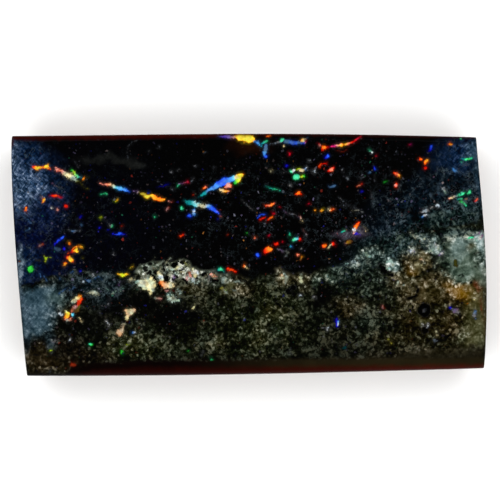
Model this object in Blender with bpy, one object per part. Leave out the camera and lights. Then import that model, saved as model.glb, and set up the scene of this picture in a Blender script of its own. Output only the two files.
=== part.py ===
"""A sawn and polished block of rough boulder opal, lying on its ground back.

One natural piece: a slab with four bowed sides, a slightly crowned polished face whose rims roll
over, and walls that keep flat sawn patches between weathered and chipped ironstone.
Frame: +Z up out of the polished face, +X along the stone, +Y towards its back long side. The
origin is the middle of the flat base. Lengths are in metres.
"""

from dataclasses import dataclass

import bmesh
import bpy
import numpy as np

MM = 0.001

# Driving dimensions of the block
THICKNESS = 8.0 * MM
BACK_LEFT = np.array((-23.65, 11.88)) * MM
BACK_RIGHT = np.array((22.68, 11.76)) * MM
FRONT_LEFT = np.array((-22.19, -12.09)) * MM
FRONT_RIGHT = np.array((23.51, -11.33)) * MM
LENGTH = 46.3 * MM
WIDTH = 23.6 * MM
CORNER_RADIUS = 0.3 * MM
CROWN_LONG = 0.35 * MM  # fall of the face from its middle to each end
CROWN_SHORT = 0.20 * MM  # fall of the face from its middle to each long side

# Walls: sawn flat below the face, weathered and broken lower down
WALL_TAPER = 0.5 * MM  # how far the walls lean in from the face to the base
SAWN_DEPTH = 2.2 * MM  # mean depth of the sawn band
SAWN_SWING = 2.6 * MM  # how far its lower edge wanders
SAWN_WANDER_SIZE = 8.0 * MM
ROUGH_RELIEF = 1.1 * MM  # how deep the rough ironstone is weathered
ROUGH_SIZES = (np.array((4.6, 4.6, 2.6)) * MM, np.array((1.9, 1.9, 1.3)) * MM)
ROUGH_SHARES = (0.65, 0.35)
RELIEF_SEED = 11

# Base: ground flat, with hollows of natural skin that the grinding did not reach
BASE_ROLL = 0.9 * MM  # worn rounding between the walls and the base
HOLLOW_DEPTH = 0.7 * MM
HOLLOW_SIZE = 5.5 * MM
HOLLOW_SEED = 29

# Mesh density
ALONG_STEPS = 52
ACROSS_STEPS = 24
ROLL_STEPS = 4
WALL_STEPS = 8
BASE_RING_SHARES = (0.10, 0.24, 0.40, 0.58)


@dataclass(frozen=True)
class Side:
    """One side of the outline: a chord bowed outwards, and the rim that rolls over along it."""

    start: np.ndarray
    end: np.ndarray
    outward: int  # +1 where outwards is to the left of the chord, -1 where it is to the right
    bow: float
    skew: float  # below 1 the bow is fullest near the start, above 1 near the end
    roll_width: float
    roll_drop: float


BACK = Side(BACK_LEFT, BACK_RIGHT, 1, 0.28 * MM, 1.25, 0.6 * MM, 0.5 * MM)
FRONT = Side(FRONT_LEFT, FRONT_RIGHT, -1, 0.19 * MM, 0.9, 2.4 * MM, 1.5 * MM)
LEFT = Side(BACK_LEFT, FRONT_LEFT, -1, 0.33 * MM, 0.65, 0.5 * MM, 0.4 * MM)
RIGHT = Side(BACK_RIGHT, FRONT_RIGHT, 1, 0.52 * MM, 1.2, 0.7 * MM, 0.5 * MM)


@dataclass(frozen=True)
class Chip:
    """A flake broken off a lower edge: the bite of a ball, in millimetres."""

    x: float
    y: float
    z: float
    radius: float


CHIPS = [
    Chip(-17.5, -14.0, -0.8, 4.0),
    Chip(-2.5, -14.6, -0.4, 4.1),
    Chip(13.6, -14.1, -1.2, 4.2),
    Chip(26.2, -9.6, -0.8, 4.6),
    Chip(26.0, 5.2, -0.9, 4.3),
    Chip(10.5, 14.6, -1.0, 4.3),
    Chip(-25.7, 9.6, -1.4, 4.4),
    Chip(-26.0, -3.6, -0.6, 4.4),
]


@dataclass(frozen=True)
class Ledge:
    """A step in a long wall where a plate of ironstone broke away, in millimetres."""

    from_x: float
    to_x: float
    top: float
    depth: float
    side: int  # +1 on the back wall, -1 on the front wall


LEDGES = [
    Ledge(-15.5, -2.5, 3.9, 0.9, 1),
    Ledge(15.0, 21.0, 2.6, 0.7, 1),
    Ledge(2.5, 10.5, 3.0, 0.8, -1),
]
LEDGE_SOFTNESS = 0.9 * MM


@dataclass(frozen=True)
class Pit:
    """A pore open at the polished face: its place, mouth radius and depth in millimetres."""

    x: float
    y: float
    mouth: float
    depth: float


PITS = [
    Pit(17.45, -5.45, 0.65, 0.38),
    Pit(17.55, -7.50, 0.32, 0.24),
    Pit(-7.50, -1.05, 0.42, 0.30),
    Pit(-8.50, -1.50, 0.30, 0.24),
    Pit(-4.45, -1.90, 0.34, 0.26),
    Pit(3.95, -3.70, 0.28, 0.22),
    Pit(4.40, -3.25, 0.26, 0.20),
    Pit(2.95, -5.00, 0.34, 0.26),
    Pit(13.35, -1.35, 0.50, 0.32),
    Pit(20.60, -0.85, 0.38, 0.28),
]

STONE_COLOUR = (0.022, 0.021, 0.020, 1.0)
STONE_ROUGHNESS = 0.3


def smooth_step(low, high, value):
    """0 below low, 1 above high, and an eased rise between them."""
    share = np.clip((value - low) / (high - low), 0.0, 1.0)
    return share * share * (3.0 - 2.0 * share)


def lattice_values(corners, seed):
    """A repeatable random number from -1 to 1 for each whole-numbered corner of a lattice."""
    mixed = (corners * np.array((73856093, 19349663, 83492791))).sum(-1) + seed * 374761393
    mixed = (mixed ^ (mixed >> 13)) * 1274126177
    mixed = (mixed ^ (mixed >> 16)) & 0xFFFFFF
    return mixed / 0x7FFFFF - 1.0


def lumps(points, size, seed):
    """Smooth random relief from -1 to 1: each point mixes the eight lattice corners round it."""
    scaled = points / size
    cell = np.floor(scaled).astype(np.int64)
    share = scaled - cell
    share = share * share * (3.0 - 2.0 * share)
    total = np.zeros(len(points))
    for corner in np.ndindex(2, 2, 2):
        weight = np.where(corner, share, 1.0 - share).prod(-1)
        total += weight * lattice_values(cell + corner, seed)
    return total


def side_points(side, share):
    """Points along one side of the outline, with half of each rounded corner at its ends."""
    chord = side.end - side.start
    length = np.linalg.norm(chord)
    along = chord / length
    outward = np.array((-along[1], along[0])) * side.outward
    corner_reach = CORNER_RADIUS * (1.0 - np.cos(np.pi / 4))
    distance = corner_reach + share * (length - 2.0 * corner_reach)
    from_corner = np.minimum(distance, length - distance)
    short = np.clip(CORNER_RADIUS - from_corner, 0.0, CORNER_RADIUS)
    rounding = CORNER_RADIUS - np.sqrt(CORNER_RADIUS**2 - short**2)
    bow = side.bow * np.sin(np.pi * share**side.skew)
    return side.start + np.outer(distance, along) + np.outer(bow - rounding, outward)


def roll_shares(width, length):
    """Shares of a length at which a rim of that width is cut, closer together near its edge."""
    turn = np.linspace(np.pi / 2, 0.0, ROLL_STEPS + 1)
    return width / length * (1.0 - np.sin(turn))


def line_shares(first_width, last_width, length, steps):
    """Places of the grid lines between two opposite rims, as shares from 0 to 1."""
    first = roll_shares(first_width, length)
    last = 1.0 - roll_shares(last_width, length)[::-1]
    middle = np.linspace(first[-1], last[0], steps + 1)[1:-1]
    return np.concatenate((first, middle, last))


def rolled_drop(distance, side):
    """How far the rim has fallen at a distance from its side: a quarter of an ellipse."""
    inside = np.clip(1.0 - distance / side.roll_width, 0.0, 1.0)
    return side.roll_drop * (1.0 - np.sqrt(1.0 - inside**2))


def crowned_height(x, y):
    """Height of the polished face without its rolled rims."""
    return THICKNESS - CROWN_LONG * (2 * x / LENGTH) ** 2 - CROWN_SHORT * (2 * y / WIDTH) ** 2


def face_grid():
    """The polished face: a patch stretched between the four sides, from back to front."""
    across = line_shares(LEFT.roll_width, RIGHT.roll_width, LENGTH, ALONG_STEPS)
    down = line_shares(BACK.roll_width, FRONT.roll_width, WIDTH, ACROSS_STEPS)
    u = across[None, :, None]
    v = down[:, None, None]
    back, front = side_points(BACK, across), side_points(FRONT, across)
    left, right = side_points(LEFT, down), side_points(RIGHT, down)
    flat = (1 - v) * back + v * front + (1 - u) * left[:, None] + u * right[:, None]
    flat -= (1 - u) * ((1 - v) * back[0] + v * front[0])
    flat -= u * ((1 - v) * back[-1] + v * front[-1])
    height = crowned_height(flat[..., 0], flat[..., 1])
    height -= rolled_drop(across * LENGTH, LEFT) + rolled_drop((1 - across) * LENGTH, RIGHT)
    height -= rolled_drop(down * WIDTH, BACK)[:, None]
    height -= rolled_drop((1 - down) * WIDTH, FRONT)[:, None]
    return np.dstack((flat, height))


def rim_order(rows, columns):
    """Row and column of each grid point round the rim, anticlockwise seen from above."""
    front = [(rows - 1, column) for column in range(columns - 1)]
    right = [(row, columns - 1) for row in range(rows - 1, 0, -1)]
    back = [(0, column) for column in range(columns - 1, 0, -1)]
    left = [(row, 0) for row in range(rows - 1)]
    return front + right + back + left


def to_spine(points):
    """Level vectors from points to the nearest place on a line along the middle of the stone."""
    spine_reach = (LENGTH - WIDTH) / 2
    spine_x = np.clip(points[:, 0], -spine_reach, spine_reach)
    return np.column_stack((spine_x - points[:, 0], -points[:, 1], np.zeros(len(points))))


def ledge_depth(points):
    """How much deeper the long walls are cut where plates of stone broke away."""
    deeper = np.zeros(len(points))
    for ledge in LEDGES:
        start, end, top = ledge.from_x * MM, ledge.to_x * MM, ledge.top * MM
        cut = smooth_step(start, start + LEDGE_SOFTNESS, points[:, 0])
        cut *= smooth_step(-end, -end + LEDGE_SOFTNESS, -points[:, 0])
        cut *= smooth_step(-top, -top + LEDGE_SOFTNESS, -points[:, 2])
        deeper += ledge.depth * MM * cut * (points[:, 1] * ledge.side > WIDTH / 4)
    return deeper


def weathering(points):
    """How far the walls have worn back: nothing in the sawn band, lumps and hollows below it."""
    wander = lumps(points * (1.0, 1.0, 0.0), SAWN_WANDER_SIZE, RELIEF_SEED)
    sawn_edge = THICKNESS - SAWN_DEPTH - SAWN_SWING * (wander + 0.4)
    rough = smooth_step(-sawn_edge, -sawn_edge + 1.2 * MM, -points[:, 2])
    relief = 0.25
    for order, (share, size) in enumerate(zip(ROUGH_SHARES, ROUGH_SIZES)):
        relief = relief + share * lumps(points, size, RELIEF_SEED + 1 + order)
    return ROUGH_RELIEF * np.clip(relief, 0.0, 1.0) * rough + ledge_depth(points)


def wall_rings(rim):
    """Rings of points that go down from the rim of the face to the edge of the base."""
    inward = to_spine(rim)
    inward /= np.linalg.norm(inward, axis=1, keepdims=True)
    above_roll = 1.0 - BASE_ROLL / THICKNESS
    shares = [*np.linspace(0.0, above_roll, WALL_STEPS)[1:], 1.0]
    rings = []
    for share in shares:
        ring = rim * (1.0, 1.0, 1.0 - share)
        in_roll = np.clip(1.0 - ring[:, 2] / BASE_ROLL, 0.0, 1.0)
        rounding = BASE_ROLL * (1.0 - np.sqrt(1.0 - in_roll**2)) / 2
        inset = WALL_TAPER * share + rounding + weathering(ring)
        rings.append(ring + inward * inset[:, None])
    return rings


def base_rings(edge):
    """Rings of points that go in from the edge of the base to its flat middle."""
    inward = to_spine(edge)
    first, last = BASE_RING_SHARES[0], BASE_RING_SHARES[-1]
    rings = []
    for share in BASE_RING_SHARES:
        ring = edge + inward * share
        hollow = smooth_step(0.05, 0.6, lumps(ring * (1.0, 1.0, 0.0), HOLLOW_SIZE, HOLLOW_SEED))
        fade = smooth_step(0.0, last - first, last - share)
        ring[:, 2] = HOLLOW_DEPTH * hollow * fade
        rings.append(ring)
    return rings


def chipped(points):
    """Points with each ball-shaped chip taken out: what lies in a ball goes to its surface."""
    for chip in CHIPS:
        centre = np.array((chip.x, chip.y, chip.z)) * MM
        radius = chip.radius * MM
        away = points - centre
        distance = np.linalg.norm(away, axis=1, keepdims=True)
        points = np.where(distance < radius, centre + away * (radius / distance), points)
    return points


def add_face(shell, grid):
    """Adds the polished face to the shell and returns its corners, row by row."""
    verts = [[shell.verts.new(point) for point in row] for row in grid]
    for behind, ahead in zip(verts, verts[1:]):
        for quad in zip(ahead, ahead[1:], behind[1:], behind):
            shell.faces.new(quad)
    return verts


def add_band(shell, upper, lower):
    """Adds the band of faces between two closed rings."""
    for quad in zip(upper, lower, lower[1:] + lower[:1], upper[1:] + upper[:1]):
        shell.faces.new(quad)


def add_base_middle(shell, loop, rows, columns):
    """Closes the flat middle of the base with strips between its front and back edges."""
    turn = columns + rows - 2
    front = loop[:columns]
    right = loop[columns - 1 : turn + 1]
    back = loop[turn : turn + columns][::-1]
    left = [loop[0], *loop[: turn + columns - 2 : -1]]
    for quad in zip(back[1:-2], back[2:-1], front[2:-1], front[1:-2]):
        shell.faces.new(quad)
    shell.faces.new([front[1], *left, back[1]])
    shell.faces.new([back[-2], *right[::-1], front[-2]])


def stone_mesh():
    """The closed shell of the stone: face, walls and base."""
    grid = face_grid()
    rows, columns = grid.shape[:2]
    order = rim_order(rows, columns)
    walls = wall_rings(np.array([grid[place] for place in order]))
    below = chipped(np.concatenate(walls + base_rings(walls[-1])))
    shell = bmesh.new()
    face = add_face(shell, grid)
    loop = [face[row][column] for row, column in order]
    for ring in below.reshape(-1, len(order), 3):
        next_loop = [shell.verts.new(point) for point in ring]
        add_band(shell, loop, next_loop)
        loop = next_loop
    add_base_middle(shell, loop, rows, columns)
    bmesh.ops.triangulate(shell, faces=shell.faces)
    mesh = bpy.data.meshes.new("boulder_opal")
    shell.to_mesh(mesh)
    shell.free()
    mesh.shade_smooth()
    return mesh


def pit_cutter():
    """One hidden mesh that holds a ball for each pore, sunk to the pore's depth."""
    balls = bmesh.new()
    for pit in PITS:
        x, y = pit.x * MM, pit.y * MM
        mouth, depth = pit.mouth * MM, pit.depth * MM
        radius = (mouth**2 + depth**2) / (2.0 * depth)
        made = bmesh.ops.create_icosphere(balls, subdivisions=2, radius=radius)
        middle = (x, y, crowned_height(x, y) + radius - depth)
        bmesh.ops.translate(balls, verts=made["verts"], vec=middle)
    mesh = bpy.data.meshes.new("pit_cutter")
    balls.to_mesh(mesh)
    balls.free()
    cutter = bpy.data.objects.new("pit_cutter", mesh)
    cutter.hide_render = True
    cutter.display_type = "WIRE"
    return cutter


def cut_pits(stone, cutter):
    """Opens the pores in the face."""
    pits = stone.modifiers.new("pits", "BOOLEAN")
    pits.operation = "DIFFERENCE"
    pits.solver = "EXACT"
    pits.object = cutter


def stone_material():
    """Polished black potch, taken as one colour over the whole solid."""
    material = bpy.data.materials.new("polished_boulder_opal")
    material.use_nodes = True
    shader = material.node_tree.nodes["Principled BSDF"]
    shader.inputs["Base Color"].default_value = STONE_COLOUR
    shader.inputs["Roughness"].default_value = STONE_ROUGHNESS
    shader.inputs["Metallic"].default_value = 0.0
    return material


def main():
    for old in list(bpy.data.objects):
        bpy.data.objects.remove(old, do_unlink=True)
    stone = bpy.data.objects.new("boulder_opal", stone_mesh())
    stone.data.materials.append(stone_material())
    cutter = pit_cutter()
    for item in (stone, cutter):
        bpy.context.scene.collection.objects.link(item)
    cut_pits(stone, cutter)


main()
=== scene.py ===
"""Finish of a sawn and polished block of rough boulder opal, laid out as a Blender add-on.

The stone is one surface worked out with numpy: a polished face stretched between four bowed
sides, walls that go down from its rim, and a base that closes them. Numbers kept at each of its
points say which part of the rock shows there, and one material turns them into black potch, blue
haze, sandy matrix, flashes of colour and brown ironstone.

Lengths are in metres unless a name or a comment says otherwise. Marks on the face are placed in
tenths of a millimetre, to the right of and in front of a corner that lies MARKS_LEFT left of and
MARKS_BACK behind the middle of the stone.
"""

import math
from dataclasses import dataclass

import bpy
import numpy as np
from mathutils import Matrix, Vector


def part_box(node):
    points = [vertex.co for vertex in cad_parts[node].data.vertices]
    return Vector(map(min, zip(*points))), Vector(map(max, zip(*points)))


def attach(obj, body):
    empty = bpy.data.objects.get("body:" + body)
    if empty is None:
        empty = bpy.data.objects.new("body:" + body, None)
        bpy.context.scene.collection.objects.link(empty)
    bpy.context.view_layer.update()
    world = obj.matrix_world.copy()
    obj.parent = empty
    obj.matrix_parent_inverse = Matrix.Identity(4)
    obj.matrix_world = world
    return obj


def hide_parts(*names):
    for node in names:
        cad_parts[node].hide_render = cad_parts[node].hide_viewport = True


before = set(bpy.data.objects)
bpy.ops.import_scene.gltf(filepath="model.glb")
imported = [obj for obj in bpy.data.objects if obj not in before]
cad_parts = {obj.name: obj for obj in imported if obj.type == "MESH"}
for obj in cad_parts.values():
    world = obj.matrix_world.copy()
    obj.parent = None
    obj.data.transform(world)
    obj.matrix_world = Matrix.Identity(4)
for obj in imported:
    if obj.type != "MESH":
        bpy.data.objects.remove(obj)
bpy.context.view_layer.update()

bl_info = {
    "name": "Rough Boulder Opal",
    "version": (1, 0, 0),
    "blender": (4, 5, 0),
    "location": "View3D > Sidebar > Boulder Opal",
    "description": "Builds the looks of a sawn and polished block of boulder opal",
    "category": "Object",
}

MM = 0.001
NODE = "boulder_opal"

# Block, as the solid has it, but for its corners, which are sharper here
BOX_LOW, BOX_HIGH = (np.array(corner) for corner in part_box(NODE))
THICKNESS = 8.0 * MM
BACK_LEFT = np.array((-23.65, 11.88)) * MM
BACK_RIGHT = np.array((22.68, 11.76)) * MM
FRONT_LEFT = np.array((-22.19, -12.09)) * MM
FRONT_RIGHT = np.array((23.51, -11.33)) * MM
LENGTH = 46.3 * MM
WIDTH = 23.6 * MM
CORNER_RADIUS = 0.1 * MM
CROWN_LONG = 0.35 * MM
CROWN_SHORT = 0.20 * MM

# Walls and base, as the solid has them
WALL_TAPER = 0.5 * MM
SAWN_DEPTH = 2.2 * MM
SAWN_SWING = 2.6 * MM
SAWN_WANDER_SIZE = 8.0 * MM
SAWN_EDGE_SOFTNESS = 1.2 * MM
ROUGH_RELIEF = 1.1 * MM
ROUGH_SIZES = (np.array((4.6, 4.6, 2.6)) * MM, np.array((1.9, 1.9, 1.3)) * MM)
ROUGH_SHARES = (0.65, 0.35)
RELIEF_SEED = 11
BASE_ROLL = 0.9 * MM
BASE_ROLL_CUTS = np.array((0.55, 0.25, 0.08, 0.0))
HOLLOW_DEPTH = 0.7 * MM
HOLLOW_SIZE = 5.5 * MM
HOLLOW_EDGE = (0.05, 0.6)  # relief where a hollow starts and is full
HOLLOW_SEED = 29
LEDGE_SOFTNESS = 0.9 * MM

# Finer relief than the solid has
FINE_SIZES = (np.array((0.9, 0.9, 0.6)) * MM, np.array((0.42, 0.42, 0.36)) * MM)
FINE_DEPTHS = (0.16 * MM, 0.07 * MM)
FINE_SEED = 47
PIT_RAGGED = 0.06 * MM
PIT_RAGGED_SIZE = 0.3 * MM
PIT_SEED = 52

# Mesh density
ALONG_STEPS = 336
ACROSS_STEPS = 160
ROLL_STEPS = 8
WALL_STEPS = 20
BASE_RING_SHARES = np.array((0.02, 0.05, 0.10, 0.17, 0.24, 0.32, 0.40, 0.49, 0.58))

# Polish: where it starts as a share of a rim's width, and how it ends round a pit
POLISH_START = (0.88, 1.08)
PIT_MARGIN = 0.08 * MM
PIT_POLISH_END = (-0.02 * MM, 0.05 * MM)

# Ironstone rims on the face: shares of the way along a side, and their width in millimetres
# there, which is negative where the rim stops short of the edge
BACK_SKIN = ((0.0, 0.42, 0.46, 1.0), (0.32, 0.30, 0.10, 0.04))
FRONT_SKIN = ((0.0, 0.08, 0.1, 0.15, 0.25, 0.6, 1.0), (0.03, 0.15, 0.8, 1.25, 1.5, 1.4, 1.1))
LEFT_SKIN = ((0.0, 0.04, 0.07), (0.15, 0.15, -0.25))
RIGHT_SKIN_WIDTH = -0.25
WALL_SKIN_DEPTH = 3.0

# Frame of the marks on the face
TENTH = 0.1 * MM
MARKS_LEFT = 24.9 * MM
MARKS_BACK = 25.5 * MM

# Random bends of the marks' edges: size of the relief, and its reach in the marks' tenths
WASH_BENDS = ((1.4 * MM, 4.0), (0.6 * MM, 2.4), (0.28 * MM, 1.3))
WASH_SEEDS = (61, 71)
FLASH_BENDS = ((0.55 * MM, 1.0), (0.27 * MM, 0.6))
FLASH_SEEDS = (81, 83)
STRAY_SHARE = 0.10  # share of the way along a flash by which its colours stray
STRAY_SIZE = 0.45 * MM
STRAY_SEED = 85


@dataclass(frozen=True)
class Side:
    """One side of the outline: a chord bowed outwards, and the rim that rolls over along it."""

    start: np.ndarray
    end: np.ndarray
    outward: int  # +1 where outwards is to the left of the chord, -1 where it is to the right
    bow: float
    skew: float
    roll_width: float
    roll_drop: float


BACK = Side(BACK_LEFT, BACK_RIGHT, 1, 0.28 * MM, 1.25, 0.6 * MM, 0.5 * MM)
FRONT = Side(FRONT_LEFT, FRONT_RIGHT, -1, 0.19 * MM, 0.9, 2.4 * MM, 1.5 * MM)
LEFT = Side(BACK_LEFT, FRONT_LEFT, -1, 0.33 * MM, 0.65, 0.5 * MM, 0.4 * MM)
RIGHT = Side(BACK_RIGHT, FRONT_RIGHT, 1, 0.52 * MM, 1.2, 0.7 * MM, 0.5 * MM)


@dataclass(frozen=True)
class Chip:
    """A flake broken off a lower edge: the bite of a ball, in millimetres."""

    x: float
    y: float
    z: float
    radius: float


CHIPS = [
    Chip(-17.5, -14.0, -0.8, 4.0),
    Chip(-2.5, -14.6, -0.4, 4.1),
    Chip(13.6, -14.1, -1.2, 4.2),
    Chip(26.2, -9.6, -0.8, 4.6),
    Chip(26.0, 5.2, -0.9, 4.3),
    Chip(10.5, 14.6, -1.0, 4.3),
    Chip(-25.7, 9.6, -1.4, 4.4),
    Chip(-26.0, -3.6, -0.6, 4.4),
]


@dataclass(frozen=True)
class Ledge:
    """A step in a long wall where a plate of ironstone broke away, in millimetres."""

    from_x: float
    to_x: float
    top: float
    depth: float
    side: int  # +1 on the back wall, -1 on the front wall


LEDGES = [
    Ledge(-15.5, -2.5, 3.9, 0.9, 1),
    Ledge(15.0, 21.0, 2.6, 0.7, 1),
    Ledge(2.5, 10.5, 3.0, 0.8, -1),
]


@dataclass(frozen=True)
class Pit:
    """A pore open at the polished face: its place, mouth radius and depth in millimetres."""

    x: float
    y: float
    mouth: float
    depth: float


PITS = [
    Pit(17.45, -5.45, 0.65, 0.38),
    Pit(17.55, -7.50, 0.32, 0.24),
    Pit(-7.50, -1.05, 0.42, 0.30),
    Pit(-8.50, -1.50, 0.30, 0.24),
    Pit(-4.45, -1.90, 0.34, 0.26),
    Pit(3.95, -3.70, 0.28, 0.22),
    Pit(4.40, -3.25, 0.26, 0.20),
    Pit(2.95, -5.00, 0.34, 0.26),
    Pit(13.35, -1.35, 0.50, 0.32),
    Pit(20.60, -0.85, 0.38, 0.28),
]


@dataclass(frozen=True)
class Rock:
    """What shows at a place on the face: its colour, and how much of each texture it has."""

    colour: tuple  # red, green and blue from 0 to 255, as a screen shows them
    grain: float = 0.0  # sandy grains
    streak: float = 0.0  # slanted dashes of the haze
    pores: float = 0.0  # open sponge
    threads: float = 0.0  # net of thin pale threads
    specks: float = 0.0  # pinprick specks


ROCKS = {
    "potch": Rock((1, 1, 2), specks=0.13),
    "navy potch": Rock((1, 3, 12), streak=0.6, threads=0.04, specks=0.45),
    "smoky potch": Rock((3, 1, 3), streak=0.2, threads=0.1, specks=0.8),
    "dusk": Rock((58, 50, 60), streak=0.5, threads=0.4),
    "tawny potch": Rock((44, 24, 9), specks=0.2),
    "grey smear": Rock((25, 26, 25), streak=0.15),
    "blue haze": Rock((16, 32, 54), streak=0.75, threads=0.25),
    "pale blue haze": Rock((66, 86, 114), streak=0.85, threads=0.2),
    "deep blue haze": Rock((4, 13, 34), streak=0.55, threads=0.12, specks=0.3),
    "steel haze": Rock((58, 77, 88), streak=0.25, grain=0.1),
    "edge haze": Rock((84, 101, 115), streak=0.4, grain=0.1),
    "ink haze": Rock((7, 17, 24), streak=0.35, grain=0.7, threads=0.35, specks=0.6),
    "slate haze": Rock((15, 27, 27), grain=1.0, threads=0.35, specks=0.3),
    "corner haze": Rock((50, 70, 86), streak=0.5, threads=0.3),
    "matrix": Rock((21, 23, 15), grain=1.0, specks=0.15),
    "green matrix": Rock((26, 30, 18), grain=1.0, specks=0.15),
    "dark matrix": Rock((11, 13, 9), grain=1.0, specks=0.2),
    "black matrix": Rock((3, 4, 4), grain=0.8, specks=0.3),
    "teal matrix": Rock((18, 27, 23), grain=1.0, specks=0.15),
    "brown matrix": Rock((31, 29, 16), grain=0.9, specks=0.1),
    "olive matrix": Rock((66, 66, 45), grain=0.25),
    "low matrix": Rock((38, 32, 21), grain=0.5, specks=0.1),
    "network": Rock((11, 20, 24), grain=0.9, threads=0.3, specks=0.6),
    "sponge": Rock((140, 146, 128), grain=0.5, pores=1.0),
    "grey sponge": Rock((88, 96, 84), grain=0.55, pores=1.0),
    "beige": Rock((118, 112, 88), grain=0.55, pores=0.5),
    "pale green": Rock((92, 106, 92), grain=0.2),
    "sea green": Rock((80, 95, 84), grain=0.22),
    "milky": Rock((90, 106, 102), grain=0.5, threads=0.3),
    "ice": Rock((158, 184, 182), grain=0.15),
    "ochre": Rock((128, 96, 46), grain=0.2),
    "tan": Rock((84, 78, 56), grain=0.45),
    "warm matrix": Rock((62, 53, 34), grain=0.5),
    "rust": Rock((92, 36, 12), grain=0.4),
    "hole": Rock((2, 2, 2)),
    "edge brown": Rock((66, 58, 38), grain=0.25),
    "bronze edge": Rock((38, 35, 25), grain=0.1),
}


@dataclass(frozen=True)
class Wash:
    """A soft-edged oval of one kind of rock on the face, in the marks' tenths of a millimetre."""

    rock: str
    right: float
    down: float
    wide: float  # half width
    tall: float  # half height
    turn: float = 0.0  # degrees, anticlockwise as seen
    strength: float = 1.0
    soft: float = 0.5  # share of the oval over which it fades out, on both sides of its edge


def washes(rock, *ovals):
    """Washes of the same rock, one over another: each holds what a Wash lists after its rock."""
    return [Wash(rock, *oval) for oval in ovals]


# Painted one over another, before the matrix
POTCH_WASHES = [
    Wash("navy potch", 70, 225, 85, 62, 0, 1.0, 0.8),
    *washes("smoky potch", (285, 222, 90, 46, -6, 0.9, 0.7), (355, 165, 60, 26, -8, 0.5, 0.7)),
    Wash("tawny potch", 250, 146, 15, 7, 0, 0.45, 0.9),
    *washes("grey smear", (106, 160, 26, 4.5, 3, 0.8, 0.6), (130, 164, 17, 4.5, -8, 1.0, 0.5)),
    *washes("deep blue haze", (28, 225, 26, 46, 0, 1.0, 0.5), (45, 265, 26, 22, 0, 0.8, 0.6)),
    *washes("blue haze", (34, 180, 24, 34, 28, 1.0, 0.7), (22, 156, 15, 18, 0, 0.65, 0.8)),
    *washes(
        "pale blue haze", (10, 162, 6, 40, 4, 0.7, 0.95), (22, 191, 14, 18, 20, 0.8, 0.9),
        (41, 184, 8, 7, 30, 0.25, 0.9),
    ),
    Wash("deep blue haze", 46, 205, 16, 12, 0, 0.7, 0.7),
    Wash("blue haze", 24, 268, 12, 16, 0, 0.7, 0.7),
    *washes(
        "ink haze", (430, 208, 56, 25, 14, 1.0, 0.55), (460, 185, 34, 26, 0, 0.75, 0.6),
        (384, 233, 34, 10, 14, 0.7, 0.7),
    ),
    Wash("blue haze", 463, 150, 26, 16, 22, 0.95, 0.8),
    *washes("corner haze", (474, 147, 12, 6, 34, 0.8, 0.7), (477, 172, 4, 34, 4, 0.6, 0.7)),
    Wash("slate haze", 452, 220, 36, 14, 6, 0.9, 0.7),
    Wash("dusk", 350, 236, 13, 4.5, 4, 0.9, 0.8),
]

# Top edge of the matrix, from left to right
MATRIX_EDGE = [
    (0, 286), (24, 284), (44, 279), (62, 276), (78, 270), (100, 273), (128, 277), (142, 273),
    (152, 268), (160, 262), (172, 261), (186, 264), (198, 270), (212, 272), (230, 279), (252, 279),
    (281, 273), (304, 274), (327, 271), (345, 264), (366, 249), (384, 240), (405, 231), (427, 225),
    (455, 223), (500, 218),
]
MATRIX_SOFT = 2.0

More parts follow.
